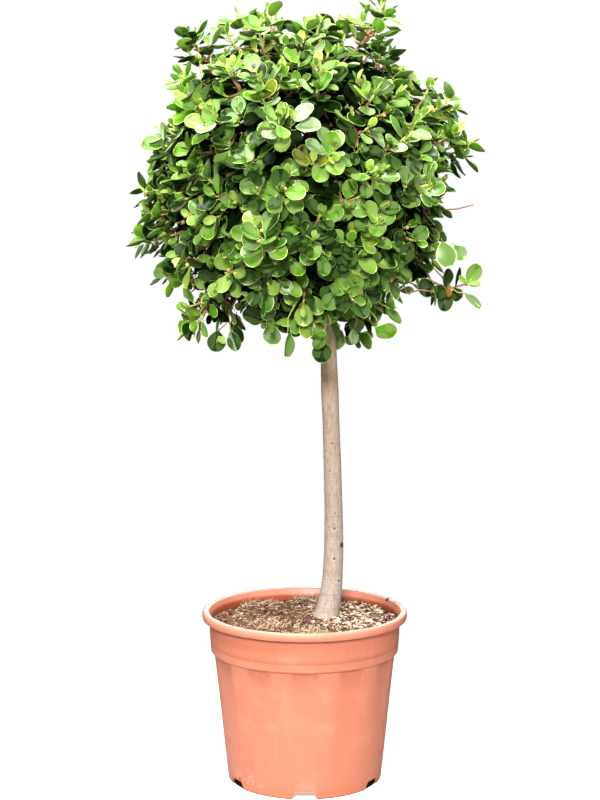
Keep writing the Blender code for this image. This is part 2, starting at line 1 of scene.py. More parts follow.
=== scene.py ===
"""Looks for the potted ficus standard: moulded pot, bark mulch, bark and a crown of real-size leaves.

Laid out as a Blender add-on and run as a script. Every size is in metres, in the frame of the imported
model: the origin is the centre of the pot's underside, +Z is up and the plant's front faces -Y.
"""

from itertools import product
from math import acos, atan2, cos, degrees, exp, log, pi, radians, sin, sqrt
from random import Random

import bmesh
import bpy
import numpy as np
from mathutils import Matrix, Vector, noise


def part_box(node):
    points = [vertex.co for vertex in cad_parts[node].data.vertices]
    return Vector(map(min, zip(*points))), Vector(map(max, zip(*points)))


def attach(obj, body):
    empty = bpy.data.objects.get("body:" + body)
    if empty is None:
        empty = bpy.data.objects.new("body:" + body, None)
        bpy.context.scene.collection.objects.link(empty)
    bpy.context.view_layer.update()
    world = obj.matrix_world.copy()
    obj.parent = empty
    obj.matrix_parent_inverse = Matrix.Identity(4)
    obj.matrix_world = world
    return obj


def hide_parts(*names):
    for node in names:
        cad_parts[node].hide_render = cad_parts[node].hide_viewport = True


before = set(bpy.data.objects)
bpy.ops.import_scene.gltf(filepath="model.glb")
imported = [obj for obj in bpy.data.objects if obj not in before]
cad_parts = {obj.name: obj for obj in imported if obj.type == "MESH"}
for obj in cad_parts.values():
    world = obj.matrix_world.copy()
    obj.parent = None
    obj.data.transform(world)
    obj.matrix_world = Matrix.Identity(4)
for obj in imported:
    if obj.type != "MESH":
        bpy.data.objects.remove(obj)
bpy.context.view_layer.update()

bl_info = {
    "name": "Potted ficus standard",
    "version": (1, 0, 0),
    "blender": (4, 5, 0),
    "location": "View3D > Sidebar > Ficus",
    "description": "Moulds the pot, fills it, and grows the bark, twigs and leaves of a ficus standard",
    "category": "Add Mesh",
}

BODY = "root"

# Pot
POT_LOW, POT_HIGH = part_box("pot")
POT_HEIGHT = POT_HIGH.z
RIM_RADIUS = POT_HIGH.x
RIM_HEIGHT = 0.012
OPENING_RADIUS = 0.1405
BAND_RADIUS = 0.1397
BAND_FOOT = 0.191
BAND_STEP = 0.0036
INNER_RADIUS = 0.1369
STEP_FOOT = 0.1886
WALL = 0.0030
BASE_RADIUS = 0.1127
BODY_TAPER = 0.109
FLOOR_LIFT = 0.012
PAD_RADIUS = 0.062
FLUTE_COUNT = 12
FLUTE_DEPTH = 0.0022
FLUTE_HALF_WIDTH = radians(9.5)
FLUTE_TOP = 0.1865
FLUTE_FOOT = 0.050
FLUTE_RINGS = 16
NOTCH_COUNT = 6
NOTCH_HEIGHT = 0.0112
NOTCH_WIDTH = 0.037
NOTCH_TOP_WIDTH = 0.026
NOTCH_LENGTH = 0.016
BELOW_FLOOR = 0.002
RIM_SLOT_WIDTH = 0.0045
RIM_SLOT_LENGTH = 0.009
RIM_SLOT_DEPTH = 0.0045
RIM_SLOT_TURN = radians(28)
RIM_WAVE = 0.00022
FRONT = -pi / 2
# Pale scuffs on the plastic: centre, radius, strength
SCUFFS = (
    (-0.092, -0.066, 0.022, 0.022, 0.9), (-0.078, -0.083, 0.018, 0.026, 0.9),
    (-0.062, -0.096, 0.012, 0.018, 0.7), (0.072, -0.104, 0.150, 0.010, 0.5),
    (0.086, -0.092, 0.120, 0.010, 0.5), (-0.020, -0.136, 0.204, 0.012, 0.3),
)  # fmt: skip

# Soil
SOIL_EDGE = 0.2325
SOIL_CREST = 0.2397
SOIL_ROUGHNESS = 0.0016
SOIL_PATCH = 0.026
SOIL_SLOPE = 0.130
SOIL_RADIUS = INNER_RADIUS - 0.0006
SOIL_RINGS = 54
SOIL_STEPS = 168
# Relief of the mulch, and the room that loose pieces leave round the trunk
CLOD_HEIGHT = 0.0016
GRIT_HEIGHT = 0.0009
CRUMB_SHAPES = 8
CRUMB_ROOM = 0.0175
FIBRE_ROOM = 0.0180

# Trunk
TRUNK_FOOT = Vector((0.031, 0.0, SOIL_CREST + 0.0003))
TRUNK_TIP_HEIGHT = 0.800
TRUNK_LEAN = -0.039
FOOT_SWEEP = 0.0185
SWEEP_HEIGHT = 0.056
TRUNK_BOW = 0.007
TRUNK_RADIUS = 0.0122
FOOT_SWELL = 0.0050
SWELL_HEIGHT = 0.10
ROOT_FLARE = 0.0018
FLARE_HEIGHT = 0.014
TIP_TAPER = 0.0032
TAPER_START = 0.600
TRUNK_SUNK = 0.010
# Its mesh up to the fork, the relief of the bark, of roots at its foot, of rings and of lenticels
BARK_STEP = 0.0012
BARK_SIDES = 72
BOUGH_SIDES = 14
BARK_TOP = 0.66
BARK_WAVE = 0.00055
BARK_GRIT = 0.00016
ROOT_RIDGE = 0.0012
RIDGE_HEIGHT = 0.012
RING_HALF_HEIGHT = 0.0011
RING_WOBBLE = 0.0011
LENTICELS = 420
LENTICEL_HALF_WIDTH = 0.0011
LENTICEL_HALF_HEIGHT = 0.0006
KNOT_RISE = 0.00085
# Leaf scars that run round the trunk: height and strength
RINGS_ON_TRUNK = (
    (0.262, 0.5), (0.274, 1.0), (0.287, 0.5), (0.296, 0.9), (0.309, 0.4), (0.326, 0.35), (0.341, 0.9),
    (0.352, 0.4), (0.368, 0.9), (0.389, 0.5), (0.404, 0.35), (0.424, 0.6), (0.441, 0.35), (0.463, 0.5),
    (0.481, 0.3), (0.502, 0.55), (0.521, 0.3), (0.539, 0.5), (0.557, 0.3), (0.579, 0.5), (0.601, 0.3),
    (0.622, 0.5), (0.645, 0.4),
)  # fmt: skip
# Scars of old side shoots: height, turn to the right of the front, half width, height of the relief
SCARS = (
    (0.346, 56, 0.0034, 0.0009),
    (0.325, 4, 0.0042, 0.0007),
    (0.369, 2, 0.0045, 0.0008),
    (0.392, 6, 0.0030, 0.0005),
    (0.292, 40, 0.0040, 0.0007),
    (0.454, -20, 0.0030, 0.0006),
    (0.476, 52, 0.0032, 0.0006),
    (0.482, -48, 0.0028, 0.0005),
    (0.494, 2, 0.0034, 0.0004),
    (0.516, -50, 0.0030, 0.0006),
    (0.420, -58, 0.0024, 0.0004),
    (0.340, 150, 0.0040, 0.0008),
    (0.430, 200, 0.0036, 0.0007),
    (0.520, 130, 0.0032, 0.0006),
)

# Crown
CROWN_CENTRE = Vector((-0.005, 0.0, 0.872))
CROWN_RADIUS = 0.246
# Outgrown shoots and dents: angle in the front view from +X towards +Z, lean to the back, height, half width
TUFTS = (
    (12, 4, 0.016, 12), (50, 0, -0.014, 6), (65, -6, 0.043, 8), (101, 8, 0.021, 8), (128, -6, 0.034, 10),
    (150, 0, -0.028, 9), (200, 6, 0.024, 12), (232, -14, 0.042, 12), (251, 0, -0.028, 7),
    (292, 10, 0.020, 8), (345, 0, -0.010, 8),
)  # fmt: skip
# More of them, seeded, that lean to the front or the back
SIDE_TUFTS = 12
SIDE_TUFT_HEIGHT = 0.020
SIDE_TUFT_WIDTH = 14
SEED = 27
RING_COUNT = 5
RINGS = (("upper", 28, 18), ("lower", -32, 54))
RING_SIDES = {
    18: "right", 90: "back", 162: "left", 234: "front_left", 306: "front_right",
    54: "back_right", 126: "back_left", 198: "left", 270: "front", 342: "right",
}  # fmt: skip
HEART_DISTANCE = 0.125
LOWER_FORK = 0.668
UPPER_FORK = 0.726
FORK_STEP = 0.011
BOUGH_FOOT_RADIUS = 0.0062
BOUGH_TIP_RADIUS = 0.0034
BOUGH_BEND = 0.003
LEADER_BEND = Vector((-0.003, 0.0, 0.090))
TIP_JITTER = 0.12
SHOOT_ROOM = radians(9)
SHOOT_HEIGHT = 0.012
GOLDEN_TURN = radians(137.5)
OVERSHOOT = 0.003
LUMP_TURNS = 3.6
LUMP_HEIGHT = 0.024
LUMP_DEPTH = 0.008
# Rises and dents of the sprays seen from the front: turn from +X towards +Z, height, half width
OUTLINE = (
    (0, -0.009, 5), (10, -0.013, 6), (20, 0.010, 5), (30, 0.014, 9), (48, 0.012, 7), (61, -0.018, 6),
    (69, -0.024, 7), (80, 0.020, 6), (91, 0.016, 7), (110, 0.028, 10), (122, 0.003, 6), (134, -0.012, 5),
    (150, -0.014, 6), (168, -0.020, 6), (181, 0.023, 7), (200, -0.009, 6), (210, 0.008, 5), (221, 0.034, 7),
    (232, -0.010, 6), (250, -0.018, 7), (270, -0.020, 8), (290, -0.032, 8), (303, -0.003, 5),
    (340, -0.018, 8),
)  # fmt: skip
# A spray: shoots on one branch's end, how far apart they stand, and how far each sinks into the crown
SPRAY_SHOOTS = (3, 5)
SPRAY_STEP = 0.082
SPRAY_DOME = 0.10
SPRAY_SUNK = (-0.004, 0.018)
SPRAY_TINT = 0.6
SHOOT_DEPTH = (0.012, 0.030)
SHOOT_UPTURN = (0.25, 0.85)
SHOOT_STEPS = 9
TUFT_DEPTH = (0.014, 0.022)
TUFT_STEP = 0.009
TUFT_SHARE = 0.5
INNER_DEPTH = (0.066, 0.104)
INNER_UPTURN = (0.1, 0.5)
BRANCH_DEPTH = 0.058
GOLDEN_SPIRAL = pi * (3 - sqrt(5))

# A leaf: rows from its base to its tip and columns from margin to margin, the row where it is widest,
# and its length, margin, half rib and thickness
LEAF_ROWS = (0.0, 0.04, 0.14, 0.28, 0.43, 0.58, 0.72, 0.85, 0.95, 1.0)
LEAF_COLUMNS = 8
LEAF_BELLY = 0.56
GROWN_LEAF = 0.029
LEAF_MARGIN = 0.0009
RIB_HALF = 0.00035
LEAF_THICKNESS = 0.0005
BLADE, EDGE, BACK = range(3)
# How a leaf is shaped: spoon, fold along the midrib, droop of the tip, twist in degrees, wave of the edge
LEAF_SHAPES = (
    (0.40, 0.05, 0.03, 0, 0.02), (0.26, 0.09, 0.08, 6, 0.04), (0.54, 0.03, 0.02, -5, 0.02),
    (0.16, 0.06, 0.14, 4, 0.05), (-0.16, 0.05, 0.12, -7, 0.03), (0.34, 0.11, 0.06, 9, 0.05),
    (0.46, 0.06, 0.10, -9, 0.03), (0.24, 0.02, -0.03, 3, 0.06), (0.50, 0.01, 0.00, 6, 0.03),
    (0.32, 0.07, 0.16, -4, 0.05),
)  # fmt: skip
# Small openings right through the crown, in lines from the camera's place to (x, z) in its middle plane
SIGHT_FROM = Vector((0, -2.5, 0.849))
SKY_GAPS = (
    (-0.047, 1.099), (0.042, 1.097), (-0.103, 1.081), (-0.108, 1.069), (0.070, 1.065), (-0.138, 1.030),
    (-0.095, 1.010), (0.208, 0.919), (0.198, 0.847), (-0.182, 0.812), (-0.181, 0.799), (0.177, 0.736),
    (0.148, 0.723), (-0.154, 0.700), (-0.142, 0.677), (-0.118, 0.663), (-0.108, 0.663),
)  # fmt: skip
GAP_RADIUS = 0.0016
# How far leaves turn their faces up to the light, and how much more so low on the crown
LEAF_LIFT = 0.20
LOW_LIFT = 0.45
# A leaf's length and width as shares of a grown one's, and the length of its stalk
YOUNG_LENGTH = (0.38, 0.72)
GROWN_LENGTH = (0.74, 1.16)
YOUNG_WIDTH = (0.7, 0.85)
GROWN_WIDTH = (0.9, 1.1)
STALK_LENGTH = (0.004, 0.008)
# Its tilt from the shoot in degrees: a young one's, the first grown one's, more for each, and the most
YOUNG_TILT = (8, 30)
FIRST_TILT = 38
TILT_STEP = 7
MOST_TILT = 95
# How far down the shoot it stands: close together near the tip, and further apart below
CLOSE_LEAVES = 6
CLOSE_STEP = 0.0036
LOW_LEAVES_START = 0.024
LOW_STEP = 0.011
# The search for its place: tries, share of its length to its middle and round it, size of a cell,
# the cost of a metre outside the outline, and the most crowding near the tip and below
LEAF_TRIES = 5
LEAF_MIDDLE = 0.55
LEAF_ROOM = 0.42
LEAF_CELL = 0.03
OUTSIDE_COST = 400
MOST_CROWDED = 4.2
MOST_CROWDED_LOW = 2.2
# Buds and figs: lengths, share of buds that are green, share of shoots with figs
BUD_LENGTH = (0.007, 0.012)
FIG_LENGTH = (0.0050, 0.0075)
GREEN_BUDS = 0.75
FIG_SHOOTS = 0.16
# Radii of the wood: a branch from foot to end, the feet of outer and inner shoots, and a shoot's tip
BRANCH_RADII = (0.0030, 0.0015)
OUTER_SHOOT_RADIUS = 0.0022
INNER_SHOOT_RADIUS = 0.0015
SHOOT_TIP_RADIUS = 0.0013

# Single side shoots: finish, radius at the foot, points along the stem
STEMS = (
    ("twig_old", 0.0019, ((0.149, -0.030, 0.776), (0.168, -0.030, 0.753), (0.179, -0.030, 0.732),
                          (0.193, -0.030, 0.725), (0.209, -0.030, 0.722), (0.230, -0.030, 0.728))),
    ("twig_old", 0.0014, ((0.137, -0.060, 0.732), (0.143, -0.060, 0.716), (0.163, -0.060, 0.721),
                          (0.181, -0.060, 0.718))),
    ("leaf_stalk", 0.0011, ((0.209, -0.030, 0.722), (0.216, -0.032, 0.716), (0.224, -0.035, 0.715))),
    ("twig_young", 0.0012, ((0.203, 0.020, 0.832), (0.220, 0.020, 0.833), (0.243, 0.020, 0.839))),
    ("leaf_stalk", 0.0011, ((-0.023, -0.100, 0.684), (-0.023, -0.110, 0.674), (-0.023, -0.110, 0.667))),
    ("leaf_stalk", 0.0011, ((0.100, -0.060, 0.681), (0.103, -0.070, 0.674), (0.099, -0.075, 0.668))),
    ("twig_young", 0.0014, ((0.073, -0.050, 0.675), (0.070, -0.055, 0.668), (0.067, -0.055, 0.663))),
    ("twig_young", 0.0014, ((0.031, -0.080, 0.687), (0.028, -0.095, 0.667), (0.025, -0.100, 0.651))),
    ("twig_old", 0.0014, ((-0.105, -0.050, 0.700), (-0.107, -0.056, 0.680), (-0.103, -0.060, 0.663))),
    ("twig_old", 0.0012, ((-0.107, -0.056, 0.676), (-0.116, -0.060, 0.668), (-0.122, -0.060, 0.663))),
)  # fmt: skip
# Single leaves: tint, base, tip, the way the blade faces, width over length
SINGLE_LEAVES = (
    ("bright", (0.230, -0.030, 0.728), (0.246, -0.035, 0.757), (0.25, -1, 0.25), 0.66),
    ("grey_green", (0.225, -0.035, 0.715), (0.250, -0.040, 0.693), (-0.2, -0.8, 0.6), 0.36),
    ("young", (0.231, -0.030, 0.726), (0.248, -0.050, 0.724), (0, -0.7, 0.7), 0.5),
    ("young", (0.229, -0.030, 0.728), (0.219, -0.040, 0.739), (-0.4, -0.8, 0.3), 0.45),
    ("deep", (0.185, -0.030, 0.728), (0.163, -0.050, 0.720), (0.1, -1, 0.1), 0.95),
    ("deep", (0.194, -0.030, 0.725), (0.184, -0.050, 0.707), (-0.1, -1, 0.2), 0.86),
    ("deep", (0.199, -0.030, 0.723), (0.201, -0.040, 0.751), (0.5, -1, 0), 0.6),
    ("deep", (0.212, -0.030, 0.722), (0.217, -0.030, 0.753), (1, -0.35, 0), 0.6),
    ("deep", (0.200, -0.030, 0.722), (0.196, -0.035, 0.688), (0.1, -1, -0.1), 0.66),
    ("deep", (0.209, -0.030, 0.722), (0.222, -0.020, 0.704), (0.1, -1, 0.2), 0.8),
    ("dead", (0.203, -0.035, 0.725), (0.199, -0.050, 0.710), (0.7, -1, 0.2), 0.6),
    ("deep", (0.182, -0.030, 0.726), (0.180, -0.020, 0.696), (0.9, -0.5, 0), 0.5),
    ("shade", (0.176, -0.030, 0.736), (0.160, -0.020, 0.744), (0.2, -1, 0.2), 0.8),
    ("mid", (0.181, -0.060, 0.718), (0.184, -0.060, 0.698), (0.9, -0.4, 0), 0.5),
    ("grey_green", (0.189, -0.100, 0.790), (0.199, -0.110, 0.756), (0.1, -1, 0.2), 0.8),
    ("grey_green", (0.207, -0.080, 0.784), (0.220, -0.080, 0.763), (0.3, -1, 0.1), 0.85),
    ("mid", (-0.023, -0.110, 0.667), (-0.026, -0.112, 0.630), (0.75, -0.8, 0.1), 0.5),
    ("bright", (0.099, -0.075, 0.668), (0.127, -0.100, 0.658), (-0.1, -0.8, 0.55), 0.74),
    ("mint", (0.067, -0.055, 0.663), (0.068, -0.070, 0.643), (0.2, -1, 0.1), 0.6),
    ("deep", (0.025, -0.100, 0.651), (0.023, -0.120, 0.624), (-0.1, -1, 0.25), 0.82),
    ("mid", (0.026, -0.100, 0.654), (0.014, -0.120, 0.641), (-0.2, -1, 0.5), 0.7),
    ("bright", (0.028, -0.098, 0.663), (0.012, -0.120, 0.663), (-0.2, -0.9, 0.5), 0.75),
    ("deep", (-0.122, -0.060, 0.663), (-0.126, -0.070, 0.633), (0.1, -1, 0.1), 0.84),
    ("deep", (-0.104, -0.060, 0.663), (-0.095, -0.070, 0.636), (-0.1, -1, 0.1), 0.66),
    ("deep", (-0.100, -0.060, 0.672), (-0.086, -0.050, 0.645), (0.5, -1, 0), 0.5),
    ("young", (-0.120, -0.065, 0.655), (-0.112, -0.080, 0.646), (0.1, -1, 0.4), 0.6),
    ("mid", (-0.223, 0.020, 0.788), (-0.258, 0.020, 0.778), (0.1, -0.4, 1), 0.24),
    ("deep", (-0.201, 0.020, 0.737), (-0.223, 0.020, 0.721), (-0.4, -0.5, 0.8), 0.35),
)  # fmt: skip


def srgb(red, green, blue):
    """A display colour in 0 to 255 as the linear colour that a shader takes."""
    shares = (value / 255 for value in (red, green, blue))
    return tuple(s / 12.92 if s <= 0.04045 else ((s + 0.055) / 1.055) ** 2.4 for s in shares)


# Tints of whole sprays: name, blade, edge, underside
TINTS = (
    ("bright", srgb(82, 138, 18), srgb(200, 222, 114), srgb(112, 142, 66)),
    ("mid", srgb(52, 99, 12), srgb(178, 202, 112), srgb(92, 120, 54)),
    ("deep", srgb(13, 37, 3), srgb(108, 138, 60), srgb(54, 78, 30)),
    ("grey_green", srgb(90, 129, 52), srgb(200, 218, 138), srgb(114, 138, 86)),
    ("mint", srgb(114, 150, 86), srgb(218, 230, 172), srgb(150, 172, 122)),
    ("yellow_green", srgb(108, 132, 24), srgb(208, 214, 122), srgb(132, 148, 62)),
    ("olive", srgb(84, 96, 20), srgb(178, 176, 88), srgb(112, 116, 56)),
    ("fresh", srgb(114, 160, 40), srgb(214, 230, 130), srgb(126, 152, 72)),
    ("young", srgb(138, 170, 58), srgb(220, 228, 148), srgb(158, 178, 88)),
    # Near-black, painted shade for leaves deep in the crown and low on their shoots
    ("shade", srgb(7, 20, 2), srgb(26, 44, 10), srgb(16, 28, 8)),
    ("dead", srgb(150, 84, 36), srgb(176, 112, 58), srgb(140, 86, 46)),
)
SHINE = {"shade": 0.03, "dead": 0.2, "deep": 0.35, "mid": 0.55, "mint": 0.35}
TINT_NUMBERS = {tint[0]: number for number, tint in enumerate(TINTS)}
# How often each tint comes up: high on the crown, where greyer, paler tints are partly a painted sheen of the
# light from above, round its middle, near its foot, where brighter tints are partly painted light, and on
# outgrown shoots
UPPER_SHEEN_WEIGHTS = {
    "grey_green": 42, "mid": 12, "bright": 18, "deep": 8, "mint": 15, "yellow_green": 3, "olive": 2,
}  # fmt: skip
FRESH_WEIGHTS = {"bright": 42, "mid": 28, "deep": 20, "grey_green": 6, "yellow_green": 3, "olive": 1}
LOW_LIT_WEIGHTS = {"fresh": 46, "bright": 24, "mid": 10, "deep": 16, "grey_green": 4}
TUFT_WEIGHTS = {"grey_green": 40, "mid": 26, "bright": 24, "mint": 10}
# The same for the lowest leaves of an outer shoot, and for shoots inside the crown, darkened there as painted
# shade
LOWER_SHADE_WEIGHTS = {"mid": 16, "deep": 42, "grey_green": 5, "shade": 37}
INNER_SHADE_WEIGHTS = {"deep": 12, "shade": 88}
# Leaves here and there that stand out from their spray, and how many do
CONTRAST_WEIGHTS = {"deep": 60, "fresh": 16, "bright": 12, "mid": 8, "grey_green": 4}
OWN_TINT = 0.3

# Stage
FLOOR_RADIUS = 0.78
# Radius of the painted shadow on the floor under the pot
POT_SHADOW_RADIUS = 0.1105
# Lights: name, place, height of the point on the axis that it shines at, size, setting and share of its power
LIGHTS = (
    ("key", (-0.2, -3.3, 1.95), 0.62, 0.6, "key", 1.0),
    ("fill_right", (2.6, -1.5, 1.3), 0.6, 1.6, "fill", 1.0),
    ("fill_left", (-2.5, -1.5, 1.6), 0.8, 1.6, "fill", 1.05),
    ("fill_back", (0.5, 2.8, 1.6), 0.7, 1.8, "fill", 1.6),
    ("fill_low", (0.25, -2.7, 0.3), 0.85, 1.3, "fill", 0.45),
    ("overhead", (-0.5, -0.8, 3.1), 0.8, 1.3, "top", 1.0),
)
LENS = 78.3
SENSOR_WIDTH = 36
CAMERA_PITCH = 0.1157
CAMERA_YAW = 0.0027
WHITE = (1, 1, 1, 1)
BLACK = (0, 0, 0, 1)


# ---------------------------------------------------------------- settings


class PotSettings(bpy.types.PropertyGroup):
    """The nursery pot."""

    colour: bpy.props.FloatVectorProperty(
        name="Plastic", description="Colour of the pot's plastic", size=3, subtype="COLOR",
        min=0, max=1, default=srgb(192, 115, 87),
    )  # fmt: skip
    bloom: bpy.props.FloatVectorProperty(
        name="Bloom", description="Pale bloom and scuffs on the plastic", size=3, subtype="COLOR",
        min=0, max=1, default=srgb(232, 176, 146),
    )  # fmt: skip
    steps: bpy.props.IntProperty(
        name="Steps", description="Faces round the pot's wall", default=240, min=48, max=480
    )


class SoilSettings(bpy.types.PropertyGroup):
    """The dry bark mulch in the pot."""

    crumbs: bpy.props.IntProperty(name="Crumbs", description="Loose crumbs of bark", default=3000, min=0)
    chips: bpy.props.IntProperty(name="Chips", description="Larger chips of bark", default=520, min=0)
    fibres: bpy.props.IntProperty(name="Fibres", description="Straw-like fibres", default=900, min=0)
    crumb_size: bpy.props.FloatProperty(
        name="Crumb size", description="Length of a middling crumb", default=0.0038, unit="LENGTH"
    )


class BarkSettings(bpy.types.PropertyGroup):
    """The trunk and its boughs."""

    pale: bpy.props.FloatVectorProperty(
        name="Foot", description="Bark near the soil", size=3, subtype="COLOR",
        min=0, max=1, default=srgb(167, 154, 144),
    )  # fmt: skip
    brown: bpy.props.FloatVectorProperty(
        name="Top", description="Bark under the crown", size=3, subtype="COLOR",
        min=0, max=1, default=srgb(154, 133, 106),
    )  # fmt: skip
    ring_relief: bpy.props.FloatProperty(
        name="Ring relief", description="Height of the leaf scars round the trunk",
        default=0.00055, unit="LENGTH", precision=5,
    )  # fmt: skip


class CrownSettings(bpy.types.PropertyGroup):
    """Shoots and leaves of the clipped ball."""

    leaf_length: bpy.props.FloatProperty(
        name="Leaf length", description="Length of a grown leaf's blade", default=0.0292, unit="LENGTH"
    )
    leaf_width: bpy.props.FloatProperty(
        name="Leaf width", description="Width of a grown leaf's blade", default=0.0236, unit="LENGTH"
    )
    branches: bpy.props.IntProperty(
        name="Branches", description="Branches whose sprays make up the crown's outline", default=136, min=30
    )
    inner_shoots: bpy.props.IntProperty(
        name="Inner shoots", description="Shaded shoots under them", default=320, min=0
    )
    outer_leaves: bpy.props.IntProperty(
        name="Leaves", description="Leaves on an outer shoot", default=7, min=3, max=14
    )


class StageSettings(bpy.types.PropertyGroup):
    """Floor and light."""

    key: bpy.props.FloatProperty(
        name="Key light", description="Power of the large front light", default=174, unit="POWER"
    )
    fill: bpy.props.FloatProperty(
        name="Fill light", description="Power of the side lights", default=44, unit="POWER"
    )
    top: bpy.props.FloatProperty(
        name="Top light", description="Power of the light overhead", default=212, unit="POWER"
    )
    surround: bpy.props.FloatProperty(
        name="Surround", description="Light that the white surround gives", default=0.03, min=0
    )


# ---------------------------------------------------------------- meshes


def add_object(name, data):
    obj = bpy.data.objects.new(name, data)
    bpy.context.scene.collection.objects.link(obj)
    return obj


def object_from(bm, name):
    """An object made from a bmesh, which is freed."""
    mesh = bpy.data.meshes.new(name)
    bm.to_mesh(mesh)
    bm.free()
    return add_object(name, mesh)


def around(radius, turn):
    """x and y of a point on a circle."""
    return radius * cos(turn), radius * sin(turn)


def flat_faces(faces):
    """Faces as one run of corners, and how many corners each has."""
    corners = np.fromiter((corner for face in faces for corner in face), int)
    return corners, np.fromiter((len(face) for face in faces), int)


class Shape:
    """A small shape to be copied: points, faces, and which part of the shape each face is."""

    def __init__(self, points, faces, parts=None):
        self.points = np.asarray(points, float)
        self.corners, self.sizes = flat_faces(faces)
        self.parts = np.zeros(len(faces), int) if parts is None else np.asarray(parts)

    def placed(self, turned, size, at):
        """The points, turned by a matrix, scaled and moved."""
        return self.points @ np.array(turned).T * size + np.array(at)


class Bundle:
    """Many like pieces gathered into one mesh."""

    def __init__(self):
        self.points, self.corners, self.sizes, self.slots = [], [], [], []
        self.count = 0

    def add(self, points, faces, slots=0):
        """Points, faces as tuples of indices, and a slot for all faces or one for each."""
        slots = np.full(len(faces), slots) if np.isscalar(slots) else np.asarray(slots)
        self.add_arrays(np.asarray(points, float), *flat_faces(faces), slots)

    def add_shape(self, shape, points, slot):
        """One copy of a shape, with its points where it stands."""
        self.add_arrays(points, shape.corners, shape.sizes, np.full(len(shape.sizes), slot))

    def add_arrays(self, points, corners, sizes, slots):
        self.points.append(points)
        self.corners.append(corners + self.count)
        self.sizes.append(sizes)
        self.slots.append(slots)
        self.count += len(points)

    def add_copies(self, shape, placed, slots):
        """Copies of a shape at placed points (copies, points, 3), with a slot for each face of each copy."""
        copies, each = placed.shape[:2]
        shift = (np.arange(copies) * each)[:, None]
        self.add_arrays(
            placed.reshape(-1, 3),
            (shape.corners[None, :] + shift).reshape(-1),
            np.tile(shape.sizes, copies),
            slots.reshape(-1),
        )

    def build(self, name, materials, smooth=True):
        """The object with all that was added, with a material for each slot."""
        mesh = bpy.data.meshes.new(name)
        points = np.concatenate(self.points)
        corners = np.concatenate(self.corners)
        sizes = np.concatenate(self.sizes)
        mesh.vertices.add(len(points))
        mesh.loops.add(len(corners))
        mesh.polygons.add(len(sizes))
        mesh.vertices.foreach_set("co", points.astype(np.float32).reshape(-1))
        mesh.loops.foreach_set("vertex_index", corners.astype(np.int32))
        mesh.polygons.foreach_set("loop_start", (np.cumsum(sizes) - sizes).astype(np.int32))
        for material in materials:
            mesh.materials.append(material)
        mesh.polygons.foreach_set("material_index", np.concatenate(self.slots).astype(np.int32))
        mesh.update(calc_edges=True)
        mesh.validate()
        if smooth:
            mesh.shade_smooth()
        else:
            mesh.shade_flat()
        return add_object(name, mesh)


def tube_faces(rows, sides, closed=True):
    """Faces round a tube of so many rings of points, with a cap on each end if it is closed."""
    faces = []
    for row in range(rows - 1):
        for step in range(sides):
            first, second = row * sides + step, row * sides + (step + 1) % sides
            faces.append((first, second, second + sides, first + sides))
    if closed:
        last = (rows - 1) * sides
        faces.append(tuple(range(sides - 1, -1, -1)))
        faces.append(tuple(range(last, last + sides)))
    return faces


def tube(points, radii, sides, closed=True):
    """Points and faces of a round tube along a line of points."""
    line = np.asarray(points, float)
    way = np.gradient(line, axis=0)
    way /= np.linalg.norm(way, axis=1)[:, None]
    steady = np.eye(3)[np.argmin(np.abs(way).max(axis=0))]
    side = np.cross(way, steady)
    side /= np.linalg.norm(side, axis=1)[:, None]
    over = np.cross(way, side)
    turns = np.arange(sides) * 2 * pi / sides
    ring = side[:, None] * np.cos(turns)[None, :, None] + over[:, None] * np.sin(turns)[None, :, None]
    verts = (line[:, None] + ring * np.asarray(radii)[:, None, None]).reshape(-1, 3)
    return verts, tube_faces(len(line), sides, closed)


def ride(piece, slot, *nodes):
    """Put a finished piece on the plant's one body, in place of the nodes it stands for."""
    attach(piece, BODY)
    if nodes:
        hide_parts(*nodes)
    return piece


def bezier(start, first, second, end, steps):
    """Points along a curve that leaves its start and meets its end by way of two handles."""
    shares = np.linspace(0, 1, steps)[:, None]
    rest = 1 - shares
    start, first, second, end = (np.asarray(point, float) for point in (start, first, second, end))
    line = start * rest**3 + first * 3 * shares * rest**2
    return line + second * 3 * shares**2 * rest + end * shares**3


# ---------------------------------------------------------------- effects


def add_node(tree, kind, settings=None, **links):
    """A node with its settings, and inputs by name (spaces as _) that are sockets or values."""
    node = tree.nodes.new(kind)
    for key, value in (settings or {}).items():
        setattr(node, key, value)
    for key, value in links.items():
        socket = node.inputs[int(key[1:])] if key[0] == "_" else node.inputs[key.replace("_", " ")]
        if isinstance(value, bpy.types.NodeSocket):
            tree.links.new(value, socket)
        else:
            socket.default_value = value
    return node


def calculate(tree, operation, first, second=0.0):
    """What a maths node makes of two values or sockets."""
    return add_node(tree, "ShaderNodeMath", {"operation": operation}, _0=first, _1=second).outputs[0]


def mix_colours(tree, share, first, second):
    """The first colour where the share is 0, and the second where it is 1."""
    return add_node(tree, "ShaderNodeMix", {"data_type": "RGBA"}, _0=share, _6=first, _7=second).outputs[2]


